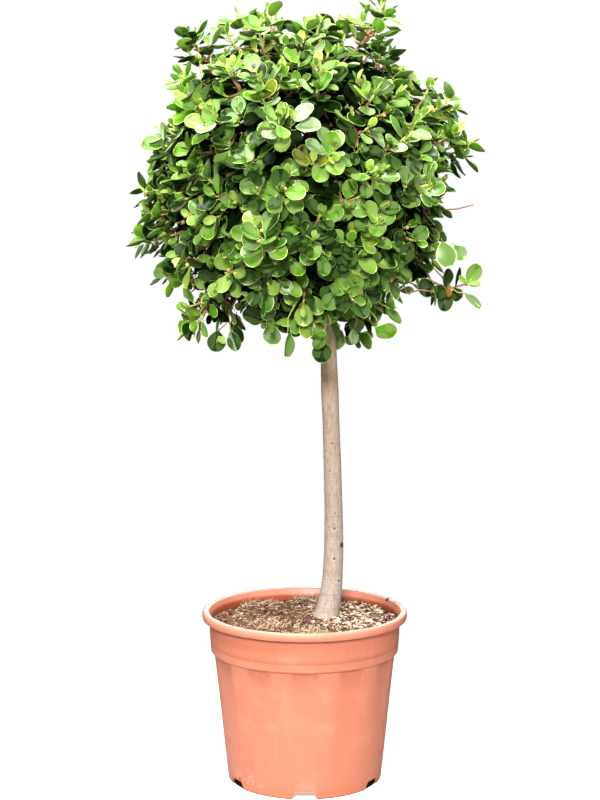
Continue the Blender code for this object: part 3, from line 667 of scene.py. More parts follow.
class Effect:
    """A shader node group under construction: its inputs by name, and the nodes that lead to its output."""

    def __init__(self, name, output="Mask", **inputs):
        self.tree = bpy.data.node_groups.new(name, "ShaderNodeTree")
        self.tree.interface.new_socket("Place", in_out="INPUT", socket_type="NodeSocketVector")
        for label, value in inputs.items():
            kind = "NodeSocketVector" if isinstance(value, tuple) else "NodeSocketFloat"
            self.tree.interface.new_socket(label, in_out="INPUT", socket_type=kind).default_value = value
        self.tree.interface.new_socket(output, in_out="OUTPUT", socket_type="NodeSocketFloat")
        self.inputs = self.tree.nodes.new("NodeGroupInput").outputs
        self.outputs = self.tree.nodes.new("NodeGroupOutput").inputs

    def __getitem__(self, label):
        return self.inputs[label]

    def node(self, kind, settings=None, **links):
        return add_node(self.tree, kind, settings, **links).outputs

    def math(self, operation, first, second=0.0):
        return calculate(self.tree, operation, first, second)

    def vector_math(self, operation, first, second=(0, 0, 0)):
        """The outputs of a vector maths node: a vector and a value, of which the operation gives one."""
        return self.node("ShaderNodeVectorMath", {"operation": operation}, _0=first, _1=second)

    def ramp(self, value, low, high, amount):
        """A value between low and high as 0 to the amount."""
        settings = {"interpolation_type": "SMOOTHSTEP", "clamp": True}
        mapped = self.node("ShaderNodeMapRange", settings, Value=value, From_Min=low, From_Max=high)
        return self.math("MULTIPLY", mapped[0], amount)

    def fade(self, value):
        """A value between the effect's own Low and High as 0 to its Amount."""
        return self.ramp(value, self["Low"], self["High"], self["Amount"])

    def cloud(self, place, scale, detail):
        return self.node("ShaderNodeTexNoise", Vector=place, Scale=scale, Detail=detail)["Fac"]

    def stretched(self):
        return self.vector_math("MULTIPLY", self["Place"], self["Stretch"])[0]

    def split(self):
        """x, y and z of the place."""
        return self.node("ShaderNodeSeparateXYZ", _0=self["Place"])

    def put_out(self, value):
        self.tree.links.new(value, self.outputs[0])


def make_mottle():
    """Soft cloudy patches."""
    effect = Effect("mottle", Stretch=(1, 1, 1), Scale=20, Detail=3, Low=0.4, High=0.7, Amount=1)
    cloud = effect.cloud(effect.stretched(), effect["Scale"], effect["Detail"])
    effect.put_out(effect.fade(cloud))


def make_spots():
    """Small separate spots, of which a share of the cells has one."""
    effect = Effect("spots", Stretch=(1, 1, 1), Scale=200, Size=0.3, Share=0.2, Amount=1)
    cells = effect.node("ShaderNodeTexVoronoi", Vector=effect.stretched(), Scale=effect["Scale"])
    inner = effect.math("MULTIPLY", effect["Size"], 0.5)
    near = effect.ramp(cells["Distance"], effect["Size"], inner, effect["Amount"])
    chance = effect.node("ShaderNodeSeparateColor", _0=cells["Color"])[0]
    kept = effect.math("LESS_THAN", chance, effect["Share"])
    effect.put_out(effect.math("MULTIPLY", near, kept))


def make_height_fade():
    """0 at one height, rising to the amount at another."""
    effect = Effect("height_fade", Low=0, High=1, Amount=1)
    effect.put_out(effect.fade(effect.split()[2]))


def make_patch():
    """A ragged patch round one place."""
    effect = Effect("patch", Centre=(0, 0, 0), Radius=0.01, Ragged=0.5, Scale=200, Amount=1)
    away = effect.vector_math("DISTANCE", effect["Place"], effect["Centre"])["Value"]
    ragged = effect.math("MULTIPLY", effect.cloud(effect["Place"], effect["Scale"], 4), effect["Ragged"])
    edge = effect.math("ADD", effect.math("DIVIDE", away, effect["Radius"]), ragged)
    effect.put_out(effect.ramp(edge, 1.0, 0.6, effect["Amount"]))


def make_within():
    """The surfaces that stand nearer to the upright axis than a radius."""
    effect = Effect("within", Radius=0.1, Amount=1)
    flat = effect.vector_math("MULTIPLY", effect["Place"], (1, 1, 0))[0]
    away = effect.vector_math("LENGTH", flat)["Value"]
    inner = effect.math("SUBTRACT", effect["Radius"], 0.0012)
    effect.put_out(effect.ramp(away, effect["Radius"], inner, effect["Amount"]))


def fluted(effect):
    """How far a point stands from the middle of the nearest flute, as a share of the way between flutes,
    and its height."""
    x, y, z = effect.split()
    turned = effect.math("ADD", effect.math("ARCTAN2", y, x), pi / 2)
    share = effect.math("MULTIPLY", turned, FLUTE_COUNT / (2 * pi))
    return effect.math("PINGPONG", share, 0.5), z


def make_flute_hollow_shade():
    """Painted shade in the hollows of the flutes, fading from one height to another."""
    effect = Effect("flute_hollow_shade", Half=0.3, Low=0, High=1, Amount=1)
    away, height = fluted(effect)
    inner = effect.math("MULTIPLY", effect["Half"], 0.62)
    below_band = effect.ramp(height, FLUTE_TOP + 0.003, FLUTE_TOP + 0.001, 1.0)
    hollow = effect.ramp(away, effect["Half"], inner, below_band)
    effect.put_out(effect.math("MULTIPLY", hollow, effect.fade(height)))


def make_flute_edge_shade():
    """Thin lines of painted shade along both edges of each flute."""
    effect = Effect("flute_edge_shade", Half=0.3, Width=0.02, Amount=1)
    away, height = fluted(effect)
    apart = effect.math("ABSOLUTE", effect.math("SUBTRACT", away, effect["Half"]))
    line = effect.ramp(apart, effect["Width"], 0.0, effect["Amount"])
    inside = effect.ramp(height, FLUTE_TOP + 0.002, FLUTE_TOP, 1.0)
    effect.put_out(effect.math("MULTIPLY", line, inside))


def make_grain():
    """Relief of a surface from coarse and fine noise."""
    effect = Effect("grain", "Height", Stretch=(1, 1, 1), Scale=200, Fine=0.3)
    place = effect.stretched()
    coarse = effect.cloud(place, effect["Scale"], 3)
    fine = effect.cloud(place, effect.math("MULTIPLY", effect["Scale"], 5), 2)
    effect.put_out(effect.math("ADD", coarse, effect.math("MULTIPLY", fine, effect["Fine"])))


EFFECTS = (
    make_mottle, make_spots, make_height_fade, make_patch, make_within, make_flute_hollow_shade, make_flute_edge_shade,
    make_grain,
)  # fmt: skip


class Finish:
    """A material built up in layers of colour over one Principled shader."""

    def __init__(self, name, colour, roughness):
        self.material = bpy.data.materials.new(name)
        self.material.use_nodes = True
        self.material.diffuse_color = (*colour, 1)
        self.tree = self.material.node_tree
        self.shader = self.tree.nodes["Principled BSDF"]
        self.shader.inputs["Base Color"].default_value = (*colour, 1)
        self.shader.inputs["Roughness"].default_value = roughness
        self.place = add_node(self.tree, "ShaderNodeTexCoord").outputs["Object"]
        self.top_colour = (*colour, 1)

    def feed(self, label, value):
        self.tree.links.new(value, self.shader.inputs[label])

    def mask(self, effect, **values):
        """The output of an effect placed in this material with its own values."""
        group = {"node_tree": bpy.data.node_groups[effect]}
        return add_node(self.tree, "ShaderNodeGroup", group, Place=self.place, **values).outputs[0]

    def coat(self, colour, mask):
        """Lay a colour over what is there, by a mask."""
        self.top_colour = mix_colours(self.tree, mask, self.top_colour, (*colour, 1))
        self.feed("Base Color", self.top_colour)

    def layer(self, tint, effect, **values):
        """Lay a display colour over what is there, by an effect with its values."""
        self.coat(srgb(*tint), self.mask(effect, **values))

    def patch(self, tint, centre, radius, ragged, scale, amount):
        """A ragged patch of a display colour round one place."""
        self.layer(tint, "patch", Centre=centre, Radius=radius, Ragged=ragged, Scale=scale, Amount=amount)

    def roughen(self, mask, low, high):
        mapped = add_node(self.tree, "ShaderNodeMapRange", Value=mask, To_Min=low, To_Max=high)
        self.feed("Roughness", mapped.outputs[0])

    def relief(self, strength, distance, **grain):
        """Relief by the grain effect with its values."""
        height = self.mask("grain", **grain)
        bump = add_node(self.tree, "ShaderNodeBump", Height=height, Strength=strength, Distance=distance)
        self.feed("Normal", bump.outputs["Normal"])

    def set(self, **values):
        for key, value in values.items():
            self.shader.inputs[key.replace("_", " ")].default_value = value


# ---------------------------------------------------------------- pot


def body_radius(height):
    return BASE_RADIUS + BODY_TAPER * height


def rounded(corners):
    """A profile whose corners (radius, height, rounding) are turned into short arcs."""
    line = []
    for index, (radius, height, rounding) in enumerate(corners):
        if not rounding:
            line.append((radius, height))
            continue
        here = Vector((radius, height))
        before = (Vector(corners[index - 1][:2]) - here).normalized()
        after = (Vector(corners[index + 1][:2]) - here).normalized()
        for share in (0.0, 0.15, 0.33, 0.5, 0.67, 0.85, 1.0):
            point = here + before * rounding * (1 - share) ** 2 + after * rounding * share**2
            line.append((point.x, point.y))
    return line


def pot_profile():
    rim_foot = POT_HEIGHT - RIM_HEIGHT
    floor_top = FLOOR_LIFT + WALL
    band_foot_radius = body_radius(BAND_FOOT) + BAND_STEP
    inner_floor = body_radius(floor_top) - WALL
    corners = [
        (0.0, WALL, 0), (PAD_RADIUS - 0.004, WALL, 0), (PAD_RADIUS + 0.004, floor_top, 0.001),
        (inner_floor, floor_top, 0.002), (body_radius(STEP_FOOT) - WALL, STEP_FOOT, 0.001),
        (INNER_RADIUS, BAND_FOOT + 0.004, 0.001), (INNER_RADIUS, rim_foot, 0.001),
        (OPENING_RADIUS, POT_HEIGHT - 0.001, 0.0016), (RIM_RADIUS - 0.0006, POT_HEIGHT, 0.0036),
        (RIM_RADIUS, POT_HEIGHT - RIM_HEIGHT * 0.55, 0.001), (RIM_RADIUS - 0.0012, rim_foot, 0.0012),
        (BAND_RADIUS, rim_foot, 0.0005), (BAND_RADIUS - 0.0010, (rim_foot + BAND_FOOT) / 2, 0),
        (band_foot_radius, BAND_FOOT, 0.0011), (body_radius(STEP_FOOT), STEP_FOOT, 0.0004),
    ]  # fmt: skip
    heights = np.linspace(FLUTE_TOP, FLUTE_FOOT, FLUTE_RINGS)
    corners += [(body_radius(height), float(height), 0) for height in heights]
    foot = BASE_RADIUS
    corners += [
        (foot, 0.0, 0.0022), (foot - WALL, 0.0, 0.0006), (foot - WALL, FLOOR_LIFT, 0.0006),
        (PAD_RADIUS + 0.004, FLOOR_LIFT, 0.001), (PAD_RADIUS, 0.0, 0.001), (0.0, 0.0, 0),
    ]  # fmt: skip
    return rounded(corners)


def flute_depth(radius, height, turn):
    """How far a flute hollows the outer wall at a turn."""
    if not FLUTE_FOOT <= height <= FLUTE_TOP + 1e-5 or radius < body_radius(height) - 1e-4:
        return 0.0
    period = 2 * pi / FLUTE_COUNT
    offset = (turn - FRONT + period / 2) % period - period / 2
    hollow = max(0.0, 1 - (offset / FLUTE_HALF_WIDTH) ** 2)
    return FLUTE_DEPTH * hollow * (height - FLUTE_FOOT) / (FLUTE_TOP - FLUTE_FOOT)


def mould_wall(steps):
    """The pot's wall as one turned mesh, with its flutes and the slight waves of a thin moulding."""
    bm = bmesh.new()
    rows = []
    for radius, height in pot_profile():
        if radius == 0:
            rows.append([bm.verts.new((0, 0, height))])
            continue
        row = []
        for step in range(steps):
            turn = 2 * pi * step / steps
            out = radius - flute_depth(radius, height, turn)
            if height > POT_HEIGHT - RIM_HEIGHT * 1.5 and radius < RIM_RADIUS - 0.001:
                out += RIM_WAVE * noise.noise(Vector((4 * cos(turn), 4 * sin(turn), 9)))
            row.append(bm.verts.new((out * cos(turn), out * sin(turn), height)))
        rows.append(row)
    for first, second in zip(rows, rows[1:]):
        for step in range(steps):
            following = (step + 1) % steps
            if len(first) == 1:
                bm.faces.new((first[0], second[following], second[step]))
            elif len(second) == 1:
                bm.faces.new((first[step], first[following], second[0]))
            else:
                bm.faces.new((first[step], first[following], second[following], second[step]))
    bmesh.ops.recalc_face_normals(bm, faces=bm.faces)
    return object_from(bm, "pot_moulding")


def block(bm, middle, size, top_width, turn):
    """A tapered block for a cutter, turned about Z."""
    length, foot_width, tall = size
    verts = bmesh.ops.create_cube(bm, size=1.0)["verts"]
    for vertex in verts:
        x, y, z = vertex.co
        width = top_width if z > 0 else foot_width
        vertex.co = Vector(middle) + Vector((x * length, y * width, z * tall))
    bmesh.ops.rotate(bm, verts=verts, cent=(0, 0, 0), matrix=Matrix.Rotation(turn, 3, "Z"))


def cut_notches(pot):
    """Six drain notches through the foot ring, and the split in the rim."""
    bm = bmesh.new()
    spread = (NOTCH_WIDTH - NOTCH_TOP_WIDTH) / NOTCH_HEIGHT
    tall = NOTCH_HEIGHT + BELOW_FLOOR
    for index in range(NOTCH_COUNT):
        middle = (BASE_RADIUS - WALL, 0, NOTCH_HEIGHT - tall / 2)
        size = (NOTCH_LENGTH, NOTCH_WIDTH + spread * BELOW_FLOOR, tall)
        block(bm, middle, size, NOTCH_TOP_WIDTH, 2 * pi * index / NOTCH_COUNT + FRONT)
    deep = RIM_SLOT_DEPTH + BELOW_FLOOR
    middle = (OPENING_RADIUS, 0, POT_HEIGHT + BELOW_FLOOR - deep / 2)
    block(bm, middle, (RIM_SLOT_LENGTH, RIM_SLOT_WIDTH, deep), RIM_SLOT_WIDTH, RIM_SLOT_TURN)
    cutter = object_from(bm, "notches")
    boolean = pot.modifiers.new("notches", "BOOLEAN")
    boolean.operation = "DIFFERENCE"
    boolean.object = cutter
    boolean.solver = "EXACT"
    bpy.context.view_layer.update()
    graph = bpy.context.evaluated_depsgraph_get()
    cut = bpy.data.meshes.new_from_object(pot.evaluated_get(graph))
    pot.modifiers.clear()
    pot.data = cut
    bpy.data.objects.remove(cutter)


def terracotta_plastic(settings):
    """Matte plastic: painted shade in the flutes, under the rim, on the inner wall and along the foot's lower
    edge, a painted highlight on the rim, with specks of dust, and scuffs by the foot.
    """
    finish = Finish("terracotta_plastic", settings.colour, 0.46)
    half = FLUTE_HALF_WIDTH * FLUTE_COUNT / (2 * pi)
    rim_foot = POT_HEIGHT - RIM_HEIGHT
    finish.layer((196, 114, 82), "mottle", Scale=9, Low=0.4, High=0.75, Amount=0.25)
    finish.coat(settings.bloom, finish.mask("mottle", Scale=30, Low=0.5, High=0.85, Amount=0.22))
    finish.layer((220, 148, 116), "mottle", Stretch=(1, 1, 0.12), Scale=70, Low=0.5, High=0.8, Amount=0.2)
    # Painted shade in the flutes, deepest under the band, and thin lines of it along their edges
    finish.layer((160, 86, 60), "flute_hollow_shade", Half=half, Low=0.150, High=0.190, Amount=0.42)
    finish.layer((176, 98, 70), "flute_hollow_shade", Half=half, Low=0.03, High=0.16, Amount=0.12)
    finish.layer((178, 98, 68), "flute_edge_shade", Half=half - 0.01, Width=0.05, Amount=0.10)
    for tint, low, high, amount in (
        ((200, 108, 66), 0.024, 0.0, 0.5),
        # Painted contact shadow along the foot's lower edge
        ((100, 46, 20), 0.0024, 0.0006, 0.8),
        # Painted shade on the band under the rim
        ((184, 102, 70), BAND_FOOT + 0.012, rim_foot, 0.6),
        # Painted highlight: a paler rim, lightest on its top
        ((200, 124, 98), rim_foot, POT_HEIGHT - 0.009, 0.9),
        ((200, 138, 118), POT_HEIGHT - 0.004, POT_HEIGHT - 0.0005, 0.6),
    ):
        finish.layer(tint, "height_fade", Low=low, High=high, Amount=amount)
    # Painted shade on the inner wall above the soil
    shade_above_band = finish.mask("height_fade", Low=BAND_FOOT + 0.010, High=BAND_FOOT + 0.012, Amount=1)
    inside = finish.mask("within", Radius=INNER_RADIUS + 0.0016, Amount=0.85)
    finish.coat(srgb(142, 62, 30), calculate(finish.tree, "MULTIPLY", shade_above_band, inside))
    finish.layer((255, 222, 204), "spots", Scale=170, Size=0.10, Share=0.14, Amount=0.7)
    finish.layer((120, 70, 48), "spots", Scale=110, Size=0.07, Share=0.07, Amount=0.6)
    finish.layer((188, 110, 80), "mottle", Scale=420, Low=0.5, High=0.7, Amount=0.2)
    flecks = finish.mask("spots", Scale=520, Size=0.42, Share=0.62, Amount=1)
    for x, y, z, radius, amount in SCUFFS:
        scuff = finish.mask("patch", Centre=(x, y, z), Radius=radius, Ragged=0.9, Scale=190, Amount=amount)
        finish.coat(srgb(246, 214, 198), calculate(finish.tree, "MULTIPLY", flecks, scuff))
    finish.patch((96, 62, 42), (-0.094, -0.066, 0.014), 0.016, 1.2, 420, 0.8)
    finish.roughen(finish.mask("mottle", Scale=34, Low=0.3, High=0.7, Amount=1), 0.40, 0.55)
    finish.relief(0.18, 0.0004, Scale=210, Fine=0.35)
    return finish.material


class FICUS_OT_mould_pot(bpy.types.Operator):
    """Mould the fluted nursery pot with its rim, notches and scuffed plastic"""

    bl_idname = "ficus.mould_pot"
    bl_label = "Mould pot"

    def execute(self, context):
        settings = context.scene.ficus_pot
        pot = mould_wall(settings.steps)
        cut_notches(pot)
        pot.data.materials.clear()
        pot.data.materials.append(terracotta_plastic(settings))
        pot.data.shade_smooth()
        pot.data.set_sharp_from_angle(angle=radians(38))
        ride(pot, "terracotta_plastic", "pot")
        return {"FINISHED"}


# ---------------------------------------------------------------- soil


def soil_height(x, y):
    """The soil's surface: highest in a flat patch round the trunk, and uneven elsewhere."""
    from_trunk = sqrt((x - TRUNK_FOOT.x) ** 2 + (y - TRUNK_FOOT.y) ** 2)
    fall = min(1.0, max(0.0, (from_trunk - SOIL_PATCH) / SOIL_SLOPE))
    uneven = sin(61 * x + 1.3) * cos(53 * y - 0.4) + 0.6 * sin(117 * x - 83 * y)
    rough = SOIL_ROUGHNESS * uneven * min(1.0, fall * 6)
    return min(SOIL_CREST, SOIL_CREST - (SOIL_CREST - SOIL_EDGE) * fall + rough)


def mulch_height(x, y):
    """The same surface with its clods."""
    clods = CLOD_HEIGHT * noise.noise(Vector((x * 130, y * 130, 3)))
    clods += GRIT_HEIGHT * noise.noise(Vector((x * 420, y * 420, 7)))
    return soil_height(x, y) + clods


SOIL_TINTS = (
    ("peat_dark", srgb(30, 18, 12)),
    ("peat_brown", srgb(92, 58, 38)),
    ("bark_red", srgb(138, 84, 54)),
    ("bark_tan", srgb(184, 144, 112)),
    ("chip_pale", srgb(230, 210, 186)),
    ("straw", srgb(212, 184, 142)),
)
# Shares of those tints at the left of the pot and at its right
LEFT_SHARES = (24, 38, 26, 6, 2, 4)
RIGHT_SHARES = (22, 8, 6, 22, 37, 5)
# Where straw has gathered: x, y, spread
STRAW_MOUNDS = (
    (-0.072, 0.098, 0.020), (-0.050, -0.052, 0.018), (0.010, 0.116, 0.014), (0.020, -0.092, 0.016),
)  # fmt: skip


def soil_finishes():
    finishes = []
    for name, colour in SOIL_TINTS:
        finish = Finish(name, colour, 0.9)
        dark = tuple(share * 0.45 for share in colour)
        finish.coat(dark, finish.mask("mottle", Scale=520, Low=0.45, High=0.75, Amount=0.5))
        finish.relief(0.5, 0.0006, Scale=900, Fine=0.5)
        finishes.append(finish.material)
    return finishes


def mulch_ground(bundle):
    """The mulch's own surface, down to a little under its edge."""
    points = [(0.0, 0.0, mulch_height(0, 0))]
    faces = []
    turns = [2 * pi * step / SOIL_STEPS for step in range(SOIL_STEPS)]
    for ring in range(1, SOIL_RINGS + 1):
        for turn in turns:
            x, y = around(SOIL_RADIUS * (ring / SOIL_RINGS), turn)
            points.append((x, y, mulch_height(x, y)))
    points += [(*around(SOIL_RADIUS, turn), SOIL_EDGE - 0.012) for turn in turns]
    for ring in range(SOIL_RINGS + 1):
        for step in range(SOIL_STEPS):
            following = (step + 1) % SOIL_STEPS
            inner = 1 + (ring - 1) * SOIL_STEPS
            outer = inner + SOIL_STEPS
            if ring == 0:
                faces.append((0, 1 + step, 1 + following))
            else:
                faces.append((inner + step, outer + step, outer + following, inner + following))
    bundle.add(points, faces, 1)


def crumb_shapes():
    """Broken, angular pieces of bark one unit long."""
    shapes = []
    for index in range(CRUMB_SHAPES):
        draw = Random(f"crumb {index}")
        bm = bmesh.new()
        bmesh.ops.create_icosphere(bm, subdivisions=1, radius=0.5)
        for vertex in bm.verts:
            vertex.co *= draw.uniform(0.65, 1.1)
            vertex.co.y *= 0.55
            vertex.co.z *= 0.32
        faces = [tuple(vertex.index for vertex in face.verts) for face in bm.faces]
        shapes.append(Shape([tuple(vertex.co) for vertex in bm.verts], faces))
        bm.free()
    return shapes


def soil_tint(x, draw):
    """The mulch is paler and coarser to the right of the trunk and redder to its left."""
    right = min(1.0, max(0.0, (x + 0.015) / 0.06))
    weights = [left + (other - left) * right for left, other in zip(LEFT_SHARES, RIGHT_SHARES)]
    return draw.choices(range(len(SOIL_TINTS)), weights)[0]


def scatter_place(draw, margin):
    radius = (SOIL_RADIUS - margin) * sqrt(draw.random())
    return around(radius, draw.uniform(0, 2 * pi))


def strew_crumbs(bundle, shapes, count, low, high, sink, draw):
    """Crumbs of a range of lengths on the mulch, clear of the trunk and coarser to its right."""
    for index in range(count):
        x, y = scatter_place(draw, high * 0.6)
        if (x - TRUNK_FOOT.x) ** 2 + y * y < CRUMB_ROOM**2:
            continue
        coarse = 1.3 if x > TRUNK_FOOT.x + 0.01 else 1.0
        size = draw.uniform(low, high) * coarse
        shape = shapes[draw.randrange(len(shapes))]
        turned = Matrix.Rotation(draw.uniform(0, 2 * pi), 3, "Z")
        for spread, axis in ((0.5, "X"), (0.3, "Y")):
            turned = turned @ Matrix.Rotation(draw.gauss(0, spread), 3, axis)
        points = shape.placed(turned, size, (x, y, mulch_height(x, y) + size * sink))
        bundle.add_shape(shape, points, soil_tint(x, draw))


def lodge_bark(bundle, shape):
    """A dark chip of bark caught in the split of the rim."""
    turned = Matrix.Rotation(RIM_SLOT_TURN + 0.5, 3, "Z") @ Matrix.Rotation(-0.5, 3, "Y")
    middle = (*around(OPENING_RADIUS, RIM_SLOT_TURN), POT_HEIGHT - 0.0012)
    bundle.add_shape(shape, shape.placed(turned, 0.010, middle), 0)


def strew_fibres(bundle, count, draw):
    """Thin bent fibres of straw, some of them heaped where straw has gathered."""
    edge = SOIL_RADIUS - 0.004
    for index in range(count):
        x, y = scatter_place(draw, 0.004)
        lift = draw.uniform(0, 0.0035) if draw.random() < 0.3 else 0.0004
        if index % 5 < 2:
            mound_x, mound_y, spread = STRAW_MOUNDS[index // 5 % len(STRAW_MOUNDS)]
            x, y = draw.gauss(mound_x, spread), draw.gauss(mound_y, spread * 0.6)
            lift = draw.uniform(0, 0.010)
        if (x - TRUNK_FOOT.x) ** 2 + y * y < FIBRE_ROOM**2 or x * x + y * y > edge**2:
            continue
        length = draw.uniform(0.005, 0.017)
        turn, bend = draw.uniform(0, 2 * pi), draw.uniform(-1.2, 1.2)
        line = []
        for step in range(5):
            share = step / 4 - 0.5
            heading = turn + bend * share
            px, py = x + cos(heading) * length * share, y + sin(heading) * length * share
            if px * px + py * py > (SOIL_RADIUS - 0.001) ** 2:
                break
            line.append((px, py, mulch_height(px, py) + 0.0006 + lift * (share + 0.5)))
        if len(line) < 3:
            continue
        thick = draw.uniform(0.00018, 0.00045)
        verts, faces = tube(line, [thick] * len(line), 3)
        bundle.add(verts, faces, draw.choices((5, 4, 3, 1), (50, 20, 20, 10))[0])


class FICUS_OT_fill_pot(bpy.types.Operator):
    """Fill the pot with dry bark mulch: clods, crumbs, chips and straw"""

    bl_idname = "ficus.fill_pot"
    bl_label = "Fill pot"

    def execute(self, context):
        settings = context.scene.ficus_soil
        draw = Random("mulch")
        finishes = soil_finishes()
        ground = Bundle()
        mulch_ground(ground)
        ride(ground.build("mulch_ground", finishes), "potting_mix", "potting_soil")
        loose = Bundle()
        shapes = crumb_shapes()
        size = settings.crumb_size
        strew_crumbs(loose, shapes, settings.crumbs, size * 0.5, size * 1.4, 0.10, draw)
        strew_crumbs(loose, shapes, settings.chips, size * 1.4, size * 2.6, 0.12, draw)
        lodge_bark(loose, shapes[0])
        ride(loose.build("mulch_crumbs", finishes, smooth=False), "potting_mix", "potting_soil")
        straw = Bundle()
        strew_fibres(straw, settings.fibres, draw)
        ride(straw.build("mulch_fibres", finishes), "potting_mix", "potting_soil")
        return {"FINISHED"}


# ---------------------------------------------------------------- trunk and boughs


def trunk_axis(height):
    rise = height - TRUNK_FOOT.z
    sweep = FOOT_SWEEP * (1 - exp(-rise / SWEEP_HEIGHT))
    bow = TRUNK_BOW * sin(pi * rise / (TRUNK_TIP_HEIGHT - TRUNK_FOOT.z))
    return Vector((TRUNK_FOOT.x + sweep + TRUNK_LEAN * rise, TRUNK_FOOT.y + bow, height))


def trunk_radius(height):
    rise = height - TRUNK_FOOT.z
    taper = TIP_TAPER * max(0.0, (height - TAPER_START) / (TRUNK_TIP_HEIGHT - TAPER_START))
    swell = FOOT_SWELL * exp(-rise / SWELL_HEIGHT)
    return TRUNK_RADIUS + swell + ROOT_FLARE * exp(-rise / FLARE_HEIGHT) - taper


class Mass:
    """One mass of foliage: its space in the crown, and the bough that carries it."""

    def __init__(self, label, azimuth, elevation, fork):
        flat = cos(radians(elevation))
        self.label = label
        self.outward = Vector((cos(radians(azimuth)), sin(radians(azimuth)), 0.0))
        self.direction = Vector((*(flat * self.outward.xy), sin(radians(elevation))))
        self.heart = CROWN_CENTRE + HEART_DISTANCE * self.direction
        self.fork = fork

    def path(self, share):
        """A point on the way from the trunk to the middle of the mass, which bends upwards."""
        start = trunk_axis(self.fork)
        middle = (start + self.heart) / 2 - BOUGH_BEND * self.outward + Vector((0, 0, BOUGH_BEND))
        if self.label == "top":
            middle = start + LEADER_BEND
        return start * (1 - share) ** 2 + middle * 2 * share * (1 - share) + self.heart * share**2


def make_masses():
    masses = [Mass("top", 0, 90, TRUNK_TIP_HEIGHT)]
    for ring, elevation, first_turn in RINGS:
        fork = UPPER_FORK if ring == "upper" else LOWER_FORK
        for index in range(RING_COUNT):
            turn = (first_turn + index * 360 // RING_COUNT) % 360
            order = (index * 2) % RING_COUNT
            masses.append(Mass(f"{ring}_{RING_SIDES[turn]}", turn, elevation, fork + order * FORK_STEP))
    return masses


def ring_relief(height, turn):
    """The lip and groove of the leaf scars that run round the trunk."""
    total = 0.0
    for ring, strength in RINGS_ON_TRUNK:
        middle = ring + RING_WOBBLE * noise.noise(Vector((cos(turn), sin(turn), ring * 90)))
        away = (height - middle) / RING_HALF_HEIGHT
        if abs(away) < 4:
            broken = 0.6 + 0.4 * noise.noise(Vector((2 * cos(turn), 2 * sin(turn), ring * 300)))
            total += strength * broken * (exp(-((away - 0.8) ** 2)) - 0.8 * exp(-((away + 0.8) ** 2)))
    return total


def scar_relief(height, turn):
    """Puckered scars of old side shoots."""
    total = 0.0
    for middle, right, half, rise in SCARS:
        offset = (turn - FRONT - radians(right) + pi) % (2 * pi) - pi
        across, along = offset * trunk_radius(middle) / half, (height - middle) / half
        away = sqrt(across**2 + (along * 1.3) ** 2)
        if away < 3:
            total += rise * (exp(-(away**2)) - 0.9 * exp(-((away * 2.4) ** 2)))
    return total


def trunk_bark(bundle, relief, lenticels):
    """The trunk as a fine tube, with rings, scars and lenticels in its mesh."""
    low, high = TRUNK_FOOT.z - TRUNK_SUNK, TRUNK_TIP_HEIGHT + 0.004
    rows = int((BARK_TOP - low) / BARK_STEP)
    heights = [*np.linspace(low, BARK_TOP, rows), *np.linspace(BARK_TOP + 0.005, high, 24)]
    points = []
    for height in heights:
        near = [spot for spot in lenticels if abs(spot[0] - height) < 0.0035]
        axis = trunk_axis(max(height, TRUNK_FOOT.z))
        roots = exp(-(height - TRUNK_FOOT.z) / RIDGE_HEIGHT)
        for step in range(BARK_SIDES):
            turn = 2 * pi * step / BARK_SIDES
            out = trunk_radius(max(height, TRUNK_FOOT.z))
            out += relief * ring_relief(height, turn) + scar_relief(height, turn)
            place = Vector((*around(0.9, turn), height * 22))
            out += BARK_WAVE * noise.noise(place) + BARK_GRIT * noise.noise(place * 6)
            out += ROOT_RIDGE * roots * (0.5 + noise.noise(Vector((*around(1.6, turn), 5))))
            for middle, side, rise in near:
                offset = (turn - side + pi) % (2 * pi) - pi
                across = offset * out / LENTICEL_HALF_WIDTH
                out += rise * exp(-(across**2 + ((height - middle) / LENTICEL_HALF_HEIGHT) ** 2))
            x, y = around(out, turn)
            points.append((axis.x + x, axis.y + y, height))
    bundle.add(points, tube_faces(len(heights), BARK_SIDES))


def bough_bark(bundle, mass):
    """A bough from inside the trunk to the middle of its mass."""
    shares = np.linspace(0, 1, 26)
    line = [mass.path(share) for share in shares]
    foot = TRUNK_RADIUS - TIP_TAPER if mass.label == "top" else BOUGH_FOOT_RADIUS
    widths = foot + (BOUGH_TIP_RADIUS - foot) * shares
    if mass.label != "top":
        widths = widths * (1 + 0.45 * np.exp(-shares * 9))
    verts, faces = tube(line, widths, BOUGH_SIDES)
    for index, point in enumerate(verts):
        middle = np.array(line[index // BOUGH_SIDES])
        push = 1 + 0.16 * noise.noise(Vector(point) * 90) + 0.08 * noise.noise(Vector(point) * 300)
        verts[index] = middle + (point - middle) * push
    bundle.add(verts, faces)


def trunk_surface(height, turn):
    """A point on the trunk's plain surface."""
    axis = trunk_axis(height)
    x, y = around(trunk_radius(height), turn)
    return Vector((axis.x + x, axis.y + y, height))


def paint_scar(finish, height, right, half, rise):
    """A dark knot where a shoot was cut off, or a pale scar with a dark eye."""
    centre = trunk_surface(height, FRONT + radians(right))
    if rise > KNOT_RISE:
        finish.patch((52, 36, 26), centre, half * 2.9, 0.8, 500, 0.95)
        return
    finish.patch((188, 162, 136), centre, half * 2.2, 1.0, 700, 0.7)
    finish.patch((70, 46, 34), centre + Vector((0, 0, half * 0.5)), half * 0.85, 0.6, 700, 0.85)


